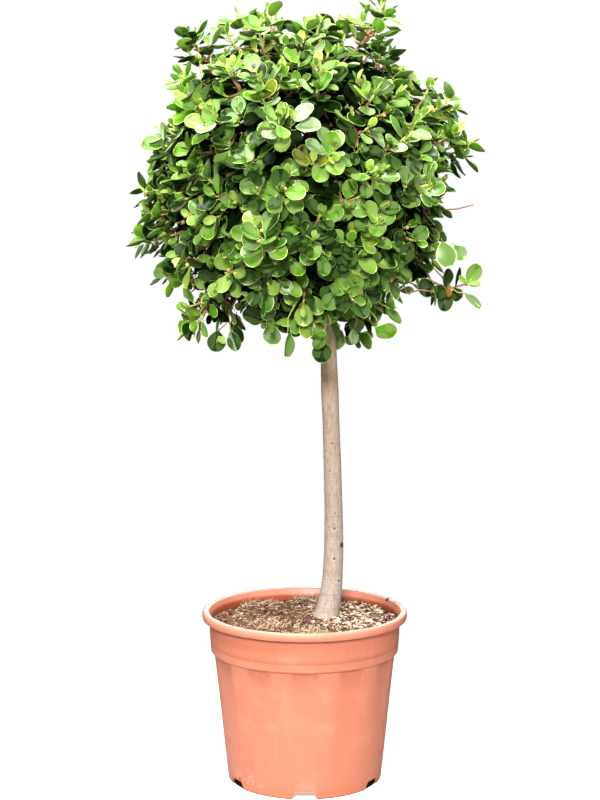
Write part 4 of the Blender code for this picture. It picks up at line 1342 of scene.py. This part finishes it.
def pale_bark(settings):
    """Smooth grey bark: browner towards the crown, with dark specks, short streaks round it, and scars."""
    finish = Finish("pale_bark", settings.pale, 0.85)
    finish.set(Specular_IOR_Level=0.2)
    finish.layer((164, 148, 133), "height_fade", Low=0.26, High=0.40, Amount=0.9)
    finish.coat(settings.brown, finish.mask("height_fade", Low=0.44, High=0.64, Amount=1))
    for tint, stretch, scale, low, high, amount in (
        ((156, 136, 118), (1, 1, 1), 60, 0.45, 0.75, 0.35),
        ((212, 198, 188), (1, 1, 0.4), 160, 0.5, 0.75, 0.22),
        ((122, 100, 82), (1, 1, 0.14), 620, 0.44, 0.7, 0.55),
        ((132, 108, 88), (0.15, 0.15, 2.2), 170, 0.56, 0.66, 0.4),
    ):
        finish.layer(tint, "mottle", Stretch=stretch, Scale=scale, Low=low, High=high, Amount=amount)
    finish.layer((116, 88, 66), "spots", Scale=430, Size=0.40, Share=0.28, Amount=0.55)
    finish.layer((140, 106, 80), "spots", Stretch=(1, 1, 1.5), Scale=300, Size=0.36, Share=0.12, Amount=0.5)
    for scar in SCARS:
        paint_scar(finish, *scar)
    finish.relief(0.4, 0.0005, Stretch=(1, 1, 0.4), Scale=620, Fine=0.4)
    return finish.material


class FICUS_OT_grow_bark(bpy.types.Operator):
    """Grow the trunk and boughs as one mesh with the bark's relief"""

    bl_idname = "ficus.grow_bark"
    bl_label = "Grow trunk and boughs"

    def execute(self, context):
        settings = context.scene.ficus_bark
        draw = Random("lenticels")
        lenticels = [
            (draw.uniform(TRUNK_FOOT.z, BARK_TOP), draw.uniform(0, 2 * pi), draw.uniform(0.0001, 0.0003))
            for index in range(LENTICELS)
        ]
        masses = make_masses()
        bark = Bundle()
        trunk_bark(bark, settings.ring_relief, lenticels)
        for mass in masses:
            bough_bark(bark, mass)
        piece = bark.build("trunk_and_boughs", [pale_bark(settings)])
        ride(piece, "bark", "trunk", *(f"bough_{mass.label}" for mass in masses))
        return {"FINISHED"}


# ---------------------------------------------------------------- crown


class Tuft:
    """An outgrown shoot, or a dent, of the crown's outline."""

    def __init__(self, turn, lean, height, width):
        self.direction = Vector((cos(lean) * cos(turn), sin(lean), cos(lean) * sin(turn)))
        self.height = height
        self.width = width

    def swell(self, direction):
        """How far it lifts the outline in a direction."""
        turn = acos(max(-1.0, min(1.0, direction.dot(self.direction))))
        return self.height * exp(-((turn / self.width) ** 2))


def make_tufts():
    """The outgrown shoots and dents: those that show from the front, and seeded ones elsewhere."""
    tufts = [
        Tuft(radians(turn), radians(lean), height, radians(width)) for turn, lean, height, width in TUFTS
    ]
    draw = Random(SEED)
    for index in range(SIDE_TUFTS):
        side = 1 if index % 2 else -1
        turn = draw.uniform(0, 2 * pi)
        lean = side * radians(draw.uniform(38, 80))
        height = SIDE_TUFT_HEIGHT * draw.uniform(-0.9, 1.0)
        tufts.append(Tuft(turn, lean, height, radians(SIDE_TUFT_WIDTH * draw.uniform(0.7, 1.2))))
    return tufts


def reach(direction, tufts):
    """How far the foliage stands from the crown's centre in a direction."""
    return CROWN_RADIUS + sum(tuft.swell(direction) for tuft in tufts)


def front_turn(direction):
    """The turn of a direction in the front view, in degrees from +X towards +Z."""
    return degrees(atan2(direction.z, direction.x))


def lumps(direction):
    """How far a spray stands out of the crown's outline, or sinks in."""
    coarse = noise.noise(direction * LUMP_TURNS + Vector((SEED, 0, 0)))
    height = LUMP_HEIGHT * coarse - LUMP_DEPTH
    seen = exp(-((direction.y / 0.5) ** 2))
    for turn, rise, width in OUTLINE:
        away = (front_turn(direction) - turn + 180) % 360 - 180
        height += rise * seen * exp(-((away / width) ** 2))
    return height


def spiral_directions(count, jitter, draw):
    """Directions spread evenly over a sphere by the golden angle."""
    for index in range(count):
        height = 1 - 2 * (index + 0.5) / count
        flat = sqrt(1 - height * height)
        turn = GOLDEN_SPIRAL * index + draw.uniform(-jitter, jitter)
        yield Vector((flat * cos(turn), flat * sin(turn), height))


def tip_directions(count, tufts):
    """Directions of the branches' tips, spread evenly over the crown, with one in each outgrown shoot."""
    draw = Random(SEED + 1)
    found = [tuft.direction for tuft in tufts if tuft.height > SHOOT_HEIGHT]
    for direction in spiral_directions(count, TIP_JITTER, draw):
        if all(direction.angle(other) > SHOOT_ROOM for other in found):
            found.append(direction)
    return found


def mass_of(direction, masses):
    return max(masses, key=lambda mass: mass.direction.dot(direction))


def sway(draw, spread):
    return Vector([draw.gauss(0, spread) for axis in range(3)])


class Branch:
    """A woody branch from a mass's bough towards the crown's outline; shoots fork from it."""

    def __init__(self, mass, direction, tufts, draw):
        self.mass, self.direction = mass, direction
        self.is_tuft = any(
            tuft.height > SHOOT_HEIGHT and direction.angle(tuft.direction) < 0.01 for tuft in tufts
        )
        start = mass.path(draw.uniform(0.72, 1.0))
        end = CROWN_CENTRE + direction * (reach(direction, tufts) - BRANCH_DEPTH)
        length = (end - start).length
        aside = Vector([draw.uniform(-1, 1) for axis in range(3)]) * 0.07 * length
        lead = (mass.path(1.0) - mass.path(0.9)).normalized()
        leaving = start + lead * length * 0.3 + aside
        self.line = bezier(start, leaving, end - direction * length * 0.3, end, SHOOT_STEPS)

    def fork(self, share):
        """A point on the branch, and the way it runs there."""
        spot = share * (len(self.line) - 1)
        step = min(int(spot), len(self.line) - 2)
        first, second = Vector(self.line[step]), Vector(self.line[step + 1])
        return first.lerp(second, spot - step), (second - first).normalized()


class Shoot:
    """A thin shoot that ends in a rosette of leaves."""

    def __init__(self, branch, end, axis, tint, draw, outer):
        away = (Vector(branch.line[-1]) - end).length
        length = np.linalg.norm(branch.line[-1] - branch.line[0])
        share = max(0.15, min(0.97, 1 - away / length * draw.uniform(0.7, 1.1)))
        root, way = branch.fork(share)
        span = (end - root).length
        self.line = bezier(root, root + way * span * 0.35, end - axis * span * 0.4, end, SHOOT_STEPS)
        self.end, self.axis, self.tint, self.outer = end, axis, tint, outer
        self.mass = branch.mass
        self.first_turn = draw.uniform(0, 2 * pi)
        self.sideways = axis.orthogonal().normalized()


def pick_tint(weights, draw):
    return draw.choices(list(weights), list(weights.values()))[0]


def weights_at(direction, draw):
    """Greyer, paler tints above, partly a painted sheen of the light from above, fresher greens below, and
    the freshest near the crown's foot, partly painted light.
    """
    share = draw.random() - 0.2 - 0.8 * direction.z
    if share < 0:
        return UPPER_SHEEN_WEIGHTS
    return FRESH_WEIGHTS if share < 0.85 else LOW_LIT_WEIGHTS


def make_spray(number, branch, tufts):
    """The shoots on one branch's end, spread by the golden angle."""
    draw = Random(f"spray {SEED} {number}")
    middle = branch.direction
    sunk = draw.uniform(*SPRAY_SUNK) - lumps(middle)
    across = middle.orthogonal().normalized()
    first = draw.uniform(0, 2 * pi)
    count = draw.randint(*SPRAY_SHOOTS) + (1 if branch.is_tuft else 0)
    spray = pick_tint(TUFT_WEIGHTS if branch.is_tuft else weights_at(middle, draw), draw)
    shoots = []
    for index in range(count):
        turn = first + index * GOLDEN_TURN
        spread = SPRAY_STEP * sqrt(index) + draw.gauss(0, 0.018)
        depth = draw.uniform(*SHOOT_DEPTH) + sunk + SPRAY_DOME * spread
        if branch.is_tuft:
            spread *= 0.5
            depth = draw.uniform(*TUFT_DEPTH) + TUFT_STEP * index
        aside = Matrix.Rotation(turn, 3, middle) @ across
        direction = (middle + aside * spread).normalized()
        swell = reach(direction, tufts) - CROWN_RADIUS
        if swell > 0 and not branch.is_tuft:
            swell *= TUFT_SHARE
        end = CROWN_CENTRE + direction * (CROWN_RADIUS + swell - depth)
        swayed = sway(draw, 0.14)
        upturn = Vector((0, 0, draw.uniform(*SHOOT_UPTURN)))
        axis = (direction + aside * spread * 2.2 + upturn + swayed).normalized()
        tint = spray if draw.random() < SPRAY_TINT else pick_tint(weights_at(direction, draw), draw)
        shoots.append(Shoot(branch, end, axis, tint, draw, True))
    return shoots


def make_inner_shoots(count, masses, branches):
    """Shaded shoots under the sprays, darkened with painted shade, each from the nearest branch of its mass.
    """
    draw = Random(SEED + 2)
    shoots = []
    for direction in spiral_directions(count, 0.1, draw):
        end = CROWN_CENTRE + direction * (CROWN_RADIUS - draw.uniform(*INNER_DEPTH))
        mass = mass_of(direction, masses)
        own = [branch for branch in branches if branch.mass is mass]
        nearest = min(own, key=lambda branch: (Vector(branch.line[-1]) - end).length)
        swayed = sway(draw, 0.2)
        axis = (direction + Vector((0, 0, draw.uniform(*INNER_UPTURN))) + swayed).normalized()
        shoots.append(Shoot(nearest, end, axis, pick_tint(INNER_SHADE_WEIGHTS, draw), draw, False))
    return shoots


def cell_of(place):
    return tuple(int(share // LEAF_CELL) for share in place)


class Leaves:
    """All leaves as they are dealt out: where each stands, its frame, size, shape and tint."""

    def __init__(self):
        self.base, self.side, self.way, self.face = [], [], [], []
        self.size, self.width, self.shape, self.tint, self.mass = [], [], [], [], []
        self.cells = {}

    def near(self, middle):
        """Middle, face and radius of each leaf in the cells round a place."""
        x, y, z = cell_of(middle)
        for right, back, up in product((-1, 0, 1), repeat=3):
            yield from self.cells.get((x + right, y + back, z + up), ())

    def crowding(self, middle, face, radius):
        """How many standing leaves this one would cross or cover closely."""
        count = 0.0
        for other, normal, other_radius in self.near(middle):
            away = middle - other
            room = radius + other_radius
            if away.length > room:
                continue
            tilt = sqrt(max(0.0, 1 - normal.dot(face) ** 2))
            over, under = abs(away.dot(normal)), abs(away.dot(face))
            if over < radius * tilt + 0.001 and under < other_radius * tilt + 0.001:
                count += 1 + (room - away.length) / radius
        return count

    def add(self, mass, base, way, face, length, width, shape, tint):
        middle = base + way * length * LEAF_MIDDLE
        self.cells.setdefault(cell_of(middle), []).append((middle, face, length * LEAF_ROOM))
        self.base.append(base)
        self.way.append(way)
        self.face.append(face)
        self.side.append(way.cross(face).normalized())
        self.size.append(length)
        self.width.append(width)
        self.shape.append(shape)
        self.tint.append(tint)
        self.mass.append(mass.label)


def leaf_half_width(share):
    """The outline of an obovate leaf: half its width, as a share of the widest."""
    bulge = sin(pi * share ** (log(0.5) / log(LEAF_BELLY)))
    return bulge ** (0.64 if share < LEAF_BELLY else 0.50)


def leaf_shape(spoon, fold, droop, twist, wave, half):
    """A leaf one unit long, with a pale margin round a blade on top and a plain underside.
    half is its widest half width in the same unit."""
    unit = 1 / GROWN_LEAF

    def place(share, across):
        width = leaf_half_width(share) * half
        x = across * width
        round_edge = (across * leaf_half_width(share)) ** 2 + 0.8 * (2 * share - 1) ** 2
        rise = half * (spoon * round_edge + fold * abs(across) * leaf_half_width(share))
        rise += wave * half * sin(share * 9 + across * 2.0) * abs(across) - droop * share**2
        turn = radians(twist) * (share - 0.5)
        return (x * cos(turn) - rise * sin(turn) * 0.5, share, rise * cos(turn) + x * sin(turn))

    points, faces, parts = [place(0.0, 0)], [], []
    for share in LEAF_ROWS[1:-1]:
        margin = 1 - min(0.45, LEAF_MARGIN * unit / (leaf_half_width(share) * half))
        rib = min(0.3, RIB_HALF * (1.1 - share) * unit / (leaf_half_width(share) * half))
        for across in (-1, -margin, -0.5 * margin, -rib, rib, 0.5 * margin, margin, 1):
            points.append(place(share, across))
    points.append(place(1.0, 0))
    tip, columns, rows = len(points) - 1, LEAF_COLUMNS, len(LEAF_ROWS) - 2
    for column in range(columns - 1):
        part = EDGE if column in (0, columns - 2) else BACK if column == 3 else BLADE
        faces.append((0, 2 + column, 1 + column))
        for row in range(rows - 1):
            first = 1 + row * columns + column
            faces.append((first, first + 1, first + 1 + columns, first + columns))
        first = 1 + (rows - 1) * columns + column
        faces.append((first, first + 1, tip))
        parts += [part] * rows + [EDGE]
    start = len(points)
    points.append(place(0.0, 0))
    for share in LEAF_ROWS[1:-1]:
        middle = place(share, 0)
        below = (middle[0], middle[1], middle[2] - LEAF_THICKNESS * unit)
        points += [place(share, -1), below, place(share, 1)]
    points.append(place(1.0, 0))
    for column in range(2):
        faces.append((start, start + 1 + column, start + 2 + column))
        for row in range(rows - 1):
            first = start + 1 + row * 3 + column
            faces.append((first + 3, first + 4, first + 1, first))
        first = start + 1 + (rows - 1) * 3 + column
        faces.append((len(points) - 1, first + 1, first))
    parts += [BACK] * (len(faces) - len(parts))
    return Shape(points, [face[::-1] for face in faces], parts)


def square_to(way, face):
    """The face turned so that it stands square to the way."""
    return (face - way * face.dot(way)).normalized()


def grow_singles(masses, branches, leaves, twigs):
    """The single side shoots and leaves, each stem rooted on the branch nearest to it."""
    finishes = ("twig_old", "twig_young", "leaf_stalk")
    ends = np.array([branch.line[-1] for branch in branches])
    for finish, radius, points in STEMS:
        nearest = int(np.argmin(np.linalg.norm(ends - np.array(points[0]), axis=1)))
        root = branches[nearest].line[-2]
        line = np.vstack([root, (root + points[0]) / 2 + (0, 0, 0.004), points])
        verts, faces = tube(line, np.linspace(radius * 1.2, radius * 0.7, len(line)), 6)
        twigs.add(verts, faces, finishes.index(finish))
    for index, (tint, base, tip, face, width) in enumerate(SINGLE_LEAVES):
        base, tip, face = Vector(base), Vector(tip), Vector(face)
        length = (tip - base).length
        way = (tip - base) / length
        face = square_to(way, face)
        mass = mass_of((base - CROWN_CENTRE).normalized(), masses)
        root = base - way * 0.004 - face * 0.001
        verts, faces = tube([root, base, base + way * 0.0012], [0.0009, 0.0007, 0.0006], 3, False)
        twigs.add(verts, faces, finishes.index("leaf_stalk"))
        leaves.add(mass, base, way, face, length, width, index % len(LEAF_SHAPES), TINT_NUMBERS[tint])


def closes_gap(base, way, face, length, width):
    """Whether a leaf would close one of the openings through the crown."""
    middle = base + way * length / 2
    side = way.cross(face)
    for x, z in SKY_GAPS:
        ray = Vector((x, 0, z)) - SIGHT_FROM
        along = (middle - SIGHT_FROM).dot(ray) / ray.length_squared
        if (SIGHT_FROM + ray * along - middle).length > length / 2 + GAP_RADIUS:
            continue
        slope = ray.dot(face)
        if abs(slope) < 0.1:
            return True
        away = SIGHT_FROM + ray * ((middle - SIGHT_FROM).dot(face) / slope) - middle
        if abs(away.dot(way)) < length / 2 + GAP_RADIUS and abs(away.dot(side)) < width / 2 + GAP_RADIUS:
            return True
    return False


def try_leaf(shoot, index, is_young, lift, draw):
    """One way for a leaf to stand on its shoot: the foot of its stalk, its base, its way and its face."""
    turn = shoot.first_turn + index * GOLDEN_TURN + draw.gauss(0, 0.24)
    spoke = Matrix.Rotation(turn, 3, shoot.axis) @ shoot.sideways
    steep = FIRST_TILT + index * TILT_STEP
    tilt = radians(draw.uniform(*YOUNG_TILT) if is_young else min(MOST_TILT, steep + draw.gauss(0, 8)))
    way = (shoot.axis * cos(tilt) + spoke * sin(tilt)).normalized()
    face = shoot.axis * sin(tilt) - spoke * cos(tilt)
    face += Vector((0, 0, lift)) + sway(draw, 0.15)
    stalk = draw.uniform(*STALK_LENGTH) * (0.5 if is_young else 1)
    down = 0.001 + index * CLOSE_STEP
    if index >= CLOSE_LEAVES:
        down = LOW_LEAVES_START + (index - CLOSE_LEAVES) * LOW_STEP
    foot = shoot.end - shoot.axis * down
    return foot, foot + way * stalk, way, square_to(way, face)


def best_leaf(shoot, index, is_young, length, lift, leaves, tufts, draw):
    """The least crowded of a few tries, with its crowding first."""
    best = None
    for attempt in range(LEAF_TRIES):
        foot, base, way, face = try_leaf(shoot, index, is_young, lift, draw)
        crowd = leaves.crowding(base + way * length * LEAF_MIDDLE, face, length * LEAF_ROOM)
        away = base + way * length - CROWN_CENTRE
        crowd += OUTSIDE_COST * max(0.0, away.length - reach(away.normalized(), tufts) - OVERSHOOT)
        if best is None or crowd < best[0]:
            best = (crowd, foot, base, way, face)
        if crowd == 0:
            break
    return best


def leaf_tint(shoot, index, is_young, draw, tones):
    """Mostly its shoot's tint, with paler young leaves, darker low ones in painted shade, and some that stand
    out.
    """
    tint = shoot.tint
    if is_young:
        tint = "young" if draw.random() < 0.4 else "bright"
    elif index >= CLOSE_LEAVES and shoot.outer:
        tint = pick_tint(LOWER_SHADE_WEIGHTS, draw)
    elif shoot.outer and draw.random() < 0.25:
        tint = pick_tint(weights_at(shoot.axis, draw), draw)
    if shoot.outer and not is_young and tones.random() < OWN_TINT:
        tint = pick_tint(CONTRAST_WEIGHTS, tones)
    return tint


def grow_leaves(shoots, settings, tufts, leaves, petioles, buds):
    """Deal leaves out to the shoots: young ones at the tip, and grown ones down the shoot."""
    for shoot in shoots:
        draw = Random(f"shoot {SEED} {shoot.first_turn:.6f}")
        tones = Random(f"tones {SEED} {shoot.first_turn:.6f}")
        count = settings.outer_leaves + draw.randint(-1, 3) if shoot.outer else draw.randint(4, 6)
        young = draw.randint(1, 3) if shoot.outer else 0
        lift = LEAF_LIFT + LOW_LIFT * max(0.0, CROWN_CENTRE.z - shoot.end.z) / CROWN_RADIUS
        for index in range(count):
            is_young = index < young
            length = settings.leaf_length * draw.uniform(*(YOUNG_LENGTH if is_young else GROWN_LENGTH))
            width = settings.leaf_width / settings.leaf_length
            width *= draw.uniform(*(YOUNG_WIDTH if is_young else GROWN_WIDTH))
            best = best_leaf(shoot, index, is_young, length, lift, leaves, tufts, draw)
            crowd, foot, base, way, face = best
            most = MOST_CROWDED if index < CLOSE_LEAVES - 1 else MOST_CROWDED_LOW
            if crowd > most or closes_gap(base, way, face, length, width * length):
                continue
            tint = TINT_NUMBERS[leaf_tint(shoot, index, is_young, draw, tones)]
            leaves.add(shoot.mass, base, way, face, length, width, draw.randrange(len(LEAF_SHAPES)), tint)
            bend = (foot + base) / 2 - face * 0.0006
            verts, faces = tube([foot, bend, base + way * 0.0012], [0.0009, 0.0007, 0.0007], 3, False)
            petioles.add(verts, faces, 2)
        if shoot.outer:
            buds.append((shoot, draw.random(), draw.uniform(0, 2 * pi)))


def place_leaves(leaves, chosen, settings, bundle):
    """Copy the leaf shapes to the chosen leaves."""
    half = settings.leaf_width / settings.leaf_length / 2
    base, way, face, side = (
        np.array([tuple(part[index]) for index in chosen], float)
        for part in (leaves.base, leaves.way, leaves.face, leaves.side)
    )
    shape_of, size, tint, width = (
        np.array([part[index] for index in chosen])
        for part in (leaves.shape, leaves.size, leaves.tint, leaves.width)
    )
    for index, form in enumerate(LEAF_SHAPES):
        picked = np.flatnonzero(shape_of == index)
        if not len(picked):
            continue
        shape = leaf_shape(*form, half)
        x, y, z = shape.points.T
        along = size[picked][:, None]
        across = (size * (width / (2 * half)))[picked][:, None]
        placed = (
            base[picked][:, None]
            + side[picked][:, None] * (x * across)[..., None]
            + way[picked][:, None] * (y * along)[..., None]
            + face[picked][:, None] * (z * along)[..., None]
        )
        bundle.add_copies(shape, placed, tint[picked][:, None] * 3 + shape.parts[None, :])


def leaf_finishes():
    """A blade, an edge and an underside for each tint, with the fine grain of a thick, glossy leaf."""
    finishes = []
    for name, blade, edge, back in TINTS:
        shine = SHINE.get(name, 0.58)
        for part, colour, roughness, gloss in (
            ("blade", blade, 0.34, shine),
            ("edge", edge, 0.42, shine),
            ("back", back, 0.6, shine * 0.3),
        ):
            finish = Finish(f"leaf_{name}_{part}", colour, roughness)
            finish.set(Specular_IOR_Level=gloss, Specular_Tint=(0.86, 1.0, 0.68, 1.0))
            finish.relief(0.12, 0.0004, Scale=420, Fine=0.25)
            finishes.append(finish.material)
    return finishes


def twig_finishes():
    """Old wood, brown young wood, and green stalks."""
    finishes = []
    for name, colour, dark in (
        ("twig_old", srgb(158, 116, 88), srgb(88, 58, 42)),
        ("twig_young", srgb(172, 124, 88), srgb(108, 70, 48)),
        ("leaf_stalk", srgb(172, 180, 92), srgb(140, 150, 70)),
    ):
        finish = Finish(name, colour, 0.7)
        finish.set(Specular_IOR_Level=0.15)
        finish.coat(dark, finish.mask("mottle", Scale=260, Low=0.42, High=0.7, Amount=0.6))
        finish.relief(0.4, 0.0004, Scale=600, Fine=0.4)
        finishes.append(finish.material)
    return finishes


def twig_lines(branches, shoots, bundle):
    """Branches of old wood, and shoots that run from old wood through young wood to green."""
    for branch in branches:
        bundle.add(*tube(branch.line, np.linspace(*BRANCH_RADII, SHOOT_STEPS), 6))
    for shoot in shoots:
        foot = OUTER_SHOOT_RADIUS if shoot.outer else INNER_SHOOT_RADIUS
        knots = 1 + 0.25 * (np.arange(SHOOT_STEPS) % 2)
        verts, faces = tube(shoot.line, np.linspace(foot, SHOOT_TIP_RADIUS, SHOOT_STEPS) * knots, 5)
        slots = [0 if index < 10 else 1 if index < 30 else 2 for index in range(len(faces))]
        bundle.add(verts, faces, slots)


def bud_shape(segments, profile):
    """A small turned body one unit tall along +Z."""
    points = [(0, 0, 0)]
    for height, radius in profile:
        for step in range(segments):
            points.append((*around(radius, 2 * pi * step / segments), height))
    points.append((0, 0, 1))
    faces = []
    rows = len(profile)
    for step in range(segments):
        following = (step + 1) % segments
        faces.append((0, 1 + following, 1 + step))
        for row in range(rows - 1):
            low = 1 + row * segments
            faces.append((low + step, low + following, low + segments + following, low + segments + step))
        low = 1 + (rows - 1) * segments
        faces.append((low + step, low + following, len(points) - 1))
    return Shape(points, faces)


def upright_on(axis):
    """The turn that stands a shape up along an axis."""
    return axis.to_track_quat("Z", "Y").to_matrix()


def set_buds(buds, bundle):
    """A pointed bud on each outer shoot, and small figs in some rosettes."""
    draw = Random(SEED + 4)
    pointed = bud_shape(6, ((0.10, 0.10), (0.35, 0.13), (0.70, 0.07)))
    fig = bud_shape(8, ((0.06, 0.20), (0.22, 0.40), (0.50, 0.50), (0.78, 0.40), (0.94, 0.18)))
    for shoot, chance, turn in buds:
        points = pointed.placed(upright_on(shoot.axis), draw.uniform(*BUD_LENGTH), shoot.end)
        bundle.add_shape(pointed, points, 0 if chance < GREEN_BUDS else 2)
        if chance >= FIG_SHOOTS:
            continue
        for index in range(draw.randint(1, 3)):
            spoke = Matrix.Rotation(turn + index * 2.4, 3, shoot.axis) @ shoot.sideways
            size = draw.uniform(*FIG_LENGTH)
            at = shoot.end - shoot.axis * draw.uniform(-0.001, 0.006) + spoke * 0.0018
            lean = (spoke + shoot.axis * 0.5).normalized()
            bundle.add_shape(fig, fig.placed(upright_on(lean), size, at), 1 if draw.random() < 0.7 else 2)


def bud_finishes():
    """Green and pinkish buds, and cream figs."""
    finishes = []
    for name, colour in (
        ("bud_green", srgb(176, 188, 96)),
        ("fig_cream", srgb(206, 190, 112)),
        ("bud_pink", srgb(190, 136, 100)),
    ):
        finish = Finish(name, colour, 0.5)
        dark = tuple(share * 0.6 for share in colour)
        finish.coat(dark, finish.mask("mottle", Scale=420, Low=0.5, High=0.8, Amount=0.5))
        finish.relief(0.2, 0.0003, Scale=700, Fine=0.3)
        finishes.append(finish.material)
    return finishes


class FICUS_OT_grow_crown(bpy.types.Operator):
    """Grow branches, shoots and leaves out of every bough to the crown's outline"""

    bl_idname = "ficus.grow_crown"
    bl_label = "Grow crown"

    def execute(self, context):
        settings = context.scene.ficus_crown
        masses, tufts = make_masses(), make_tufts()
        draw = Random(SEED + 5)
        branches = [
            Branch(mass_of(direction, masses), direction, tufts, draw)
            for direction in tip_directions(settings.branches, tufts)
        ]
        shoots = []
        for number, branch in enumerate(branches):
            shoots += make_spray(number, branch, tufts)
        shoots += make_inner_shoots(settings.inner_shoots, masses, branches)
        nodes = [f"foliage_{mass.label}" for mass in masses]
        leaves, twigs, buds = Leaves(), Bundle(), []
        twig_lines(branches, shoots, twigs)
        grow_singles(masses, branches, leaves, twigs)
        grow_leaves(shoots, settings, tufts, leaves, twigs, buds)
        ride(twigs.build("twigs_and_stalks", twig_finishes()), "bark", *nodes)
        small = Bundle()
        set_buds(buds, small)
        ride(small.build("buds_and_figs", bud_finishes()), "leaf", *nodes)
        finishes = leaf_finishes()
        for mass, node in zip(masses, nodes):
            bundle = Bundle()
            chosen = [index for index, label in enumerate(leaves.mass) if label == mass.label]
            place_leaves(leaves, chosen, settings, bundle)
            ride(bundle.build(f"leaves_{mass.label}", finishes), "leaf", node)
        return {"FINISHED"}


# ---------------------------------------------------------------- stage


def area_light(name, place, target_height, size, power):
    """A square light that shines at a point on the upright axis."""
    data = bpy.data.lights.new(name, "AREA")
    data.shape = "SQUARE"
    data.size = size
    data.energy = power
    light = add_object(name, data)
    light.location = place
    way = Vector((0, 0, target_height)) - Vector(place)
    light.rotation_euler = way.to_track_quat("-Z", "Y").to_euler()


def floor_paint():
    """White floor with a painted shadow under the pot, that fades out into the surround and throws little
    light back up.
    """
    paint = Finish("floor_paint", srgb(250, 250, 250), 0.95)
    paint.layer((244, 244, 244), "mottle", Scale=2, Low=0.4, High=0.7, Amount=0.4)
    # Painted shadow under the pot, left out at the front notch
    under = paint.mask("within", Radius=POT_SHADOW_RADIUS, Amount=1)
    front = paint.mask("patch", Centre=(0, -0.1, 0), Radius=0.05, Ragged=0.0, Scale=2, Amount=1)
    painted_shadow = calculate(paint.tree, "MULTIPLY", under, calculate(paint.tree, "SUBTRACT", 1.0, front))
    paint.coat(srgb(56, 34, 24), painted_shadow)
    seen = add_node(paint.tree, "ShaderNodeLightPath").outputs["Is Camera Ray"]
    paint.feed("Base Color", mix_colours(paint.tree, seen, (0.3, 0.3, 0.3, 1), paint.top_colour))
    paint.feed("Alpha", paint.mask("patch", Radius=FLOOR_RADIUS, Ragged=0.0, Scale=2, Amount=1))
    bright = mix_colours(paint.tree, painted_shadow, WHITE, BLACK)
    paint.feed("Emission Color", mix_colours(paint.tree, seen, BLACK, bright))
    paint.set(Specular_IOR_Level=0.0, Emission_Strength=0.5)
    return paint


def lay_floor():
    bm = bmesh.new()
    bmesh.ops.create_circle(bm, cap_ends=True, segments=96, radius=FLOOR_RADIUS)
    floor = object_from(bm, "floor")
    floor.data.materials.append(floor_paint().material)


def set_surround(scene, strength):
    """A white surround that the camera sees at full strength and the plant at much less."""
    world = bpy.data.worlds.new("studio")
    world.use_nodes = True
    backdrop = world.node_tree.nodes["Background"]
    backdrop.inputs["Color"].default_value = WHITE
    seen = add_node(world.node_tree, "ShaderNodeLightPath").outputs["Is Camera Ray"]
    glow = add_node(world.node_tree, "ShaderNodeMapRange", Value=seen, To_Min=strength, To_Max=1.0)
    world.node_tree.links.new(glow.outputs[0], backdrop.inputs["Strength"])
    scene.world = world


def set_camera(scene):
    data = bpy.data.cameras.new("camera")
    data.sensor_width = SENSOR_WIDTH
    data.lens = LENS
    camera = add_object("camera", data)
    camera.location = SIGHT_FROM
    camera.rotation_euler = (pi / 2 - CAMERA_PITCH, 0, CAMERA_YAW)
    scene.camera = camera
    scene.view_settings.view_transform = "Standard"


class FICUS_OT_set_stage(bpy.types.Operator):
    """Lay the pale floor and set the soft lights and the camera"""

    bl_idname = "ficus.set_stage"
    bl_label = "Set stage"

    def execute(self, context):
        settings = context.scene.ficus_stage
        lay_floor()
        set_surround(context.scene, settings.surround)
        for name, place, target_height, size, source, share in LIGHTS:
            area_light(name, place, target_height, size, getattr(settings, source) * share)
        set_camera(context.scene)
        return {"FINISHED"}


OPERATORS = (
    FICUS_OT_mould_pot,
    FICUS_OT_fill_pot,
    FICUS_OT_grow_bark,
    FICUS_OT_grow_crown,
    FICUS_OT_set_stage,
)
SETTINGS = {
    "ficus_pot": PotSettings,
    "ficus_soil": SoilSettings,
    "ficus_bark": BarkSettings,
    "ficus_crown": CrownSettings,
    "ficus_stage": StageSettings,
}


class FICUS_PT_panel(bpy.types.Panel):
    """Every step of making the plant, with its settings"""

    bl_idname = "FICUS_PT_panel"
    bl_label = "Potted ficus standard"
    bl_space_type = "VIEW_3D"
    bl_region_type = "UI"
    bl_category = "Ficus"

    def draw(self, context):
        for operator, name in zip(OPERATORS, SETTINGS):
            box = self.layout.box()
            settings = getattr(context.scene, name)
            for prop in settings.bl_rna.properties:
                if prop.identifier not in ("name", "rna_type"):
                    box.prop(settings, prop.identifier)
            box.operator(operator.bl_idname)


def register():
    for group in SETTINGS.values():
        bpy.utils.register_class(group)
    for name, group in SETTINGS.items():
        setattr(bpy.types.Scene, name, bpy.props.PointerProperty(type=group))
    for cls in (*OPERATORS, FICUS_PT_panel):
        bpy.utils.register_class(cls)


def unregister():
    for cls in (FICUS_PT_panel, *reversed(OPERATORS)):
        bpy.utils.unregister_class(cls)
    for name in SETTINGS:
        delattr(bpy.types.Scene, name)
    for group in reversed(SETTINGS.values()):
        bpy.utils.unregister_class(group)


def main():
    register()
    for make_effect in EFFECTS:
        make_effect()
    bpy.ops.ficus.mould_pot()
    bpy.ops.ficus.fill_pot()
    bpy.ops.ficus.grow_bark()
    bpy.ops.ficus.grow_crown()
    bpy.ops.ficus.set_stage()


if __name__ == "__main__":
    main()
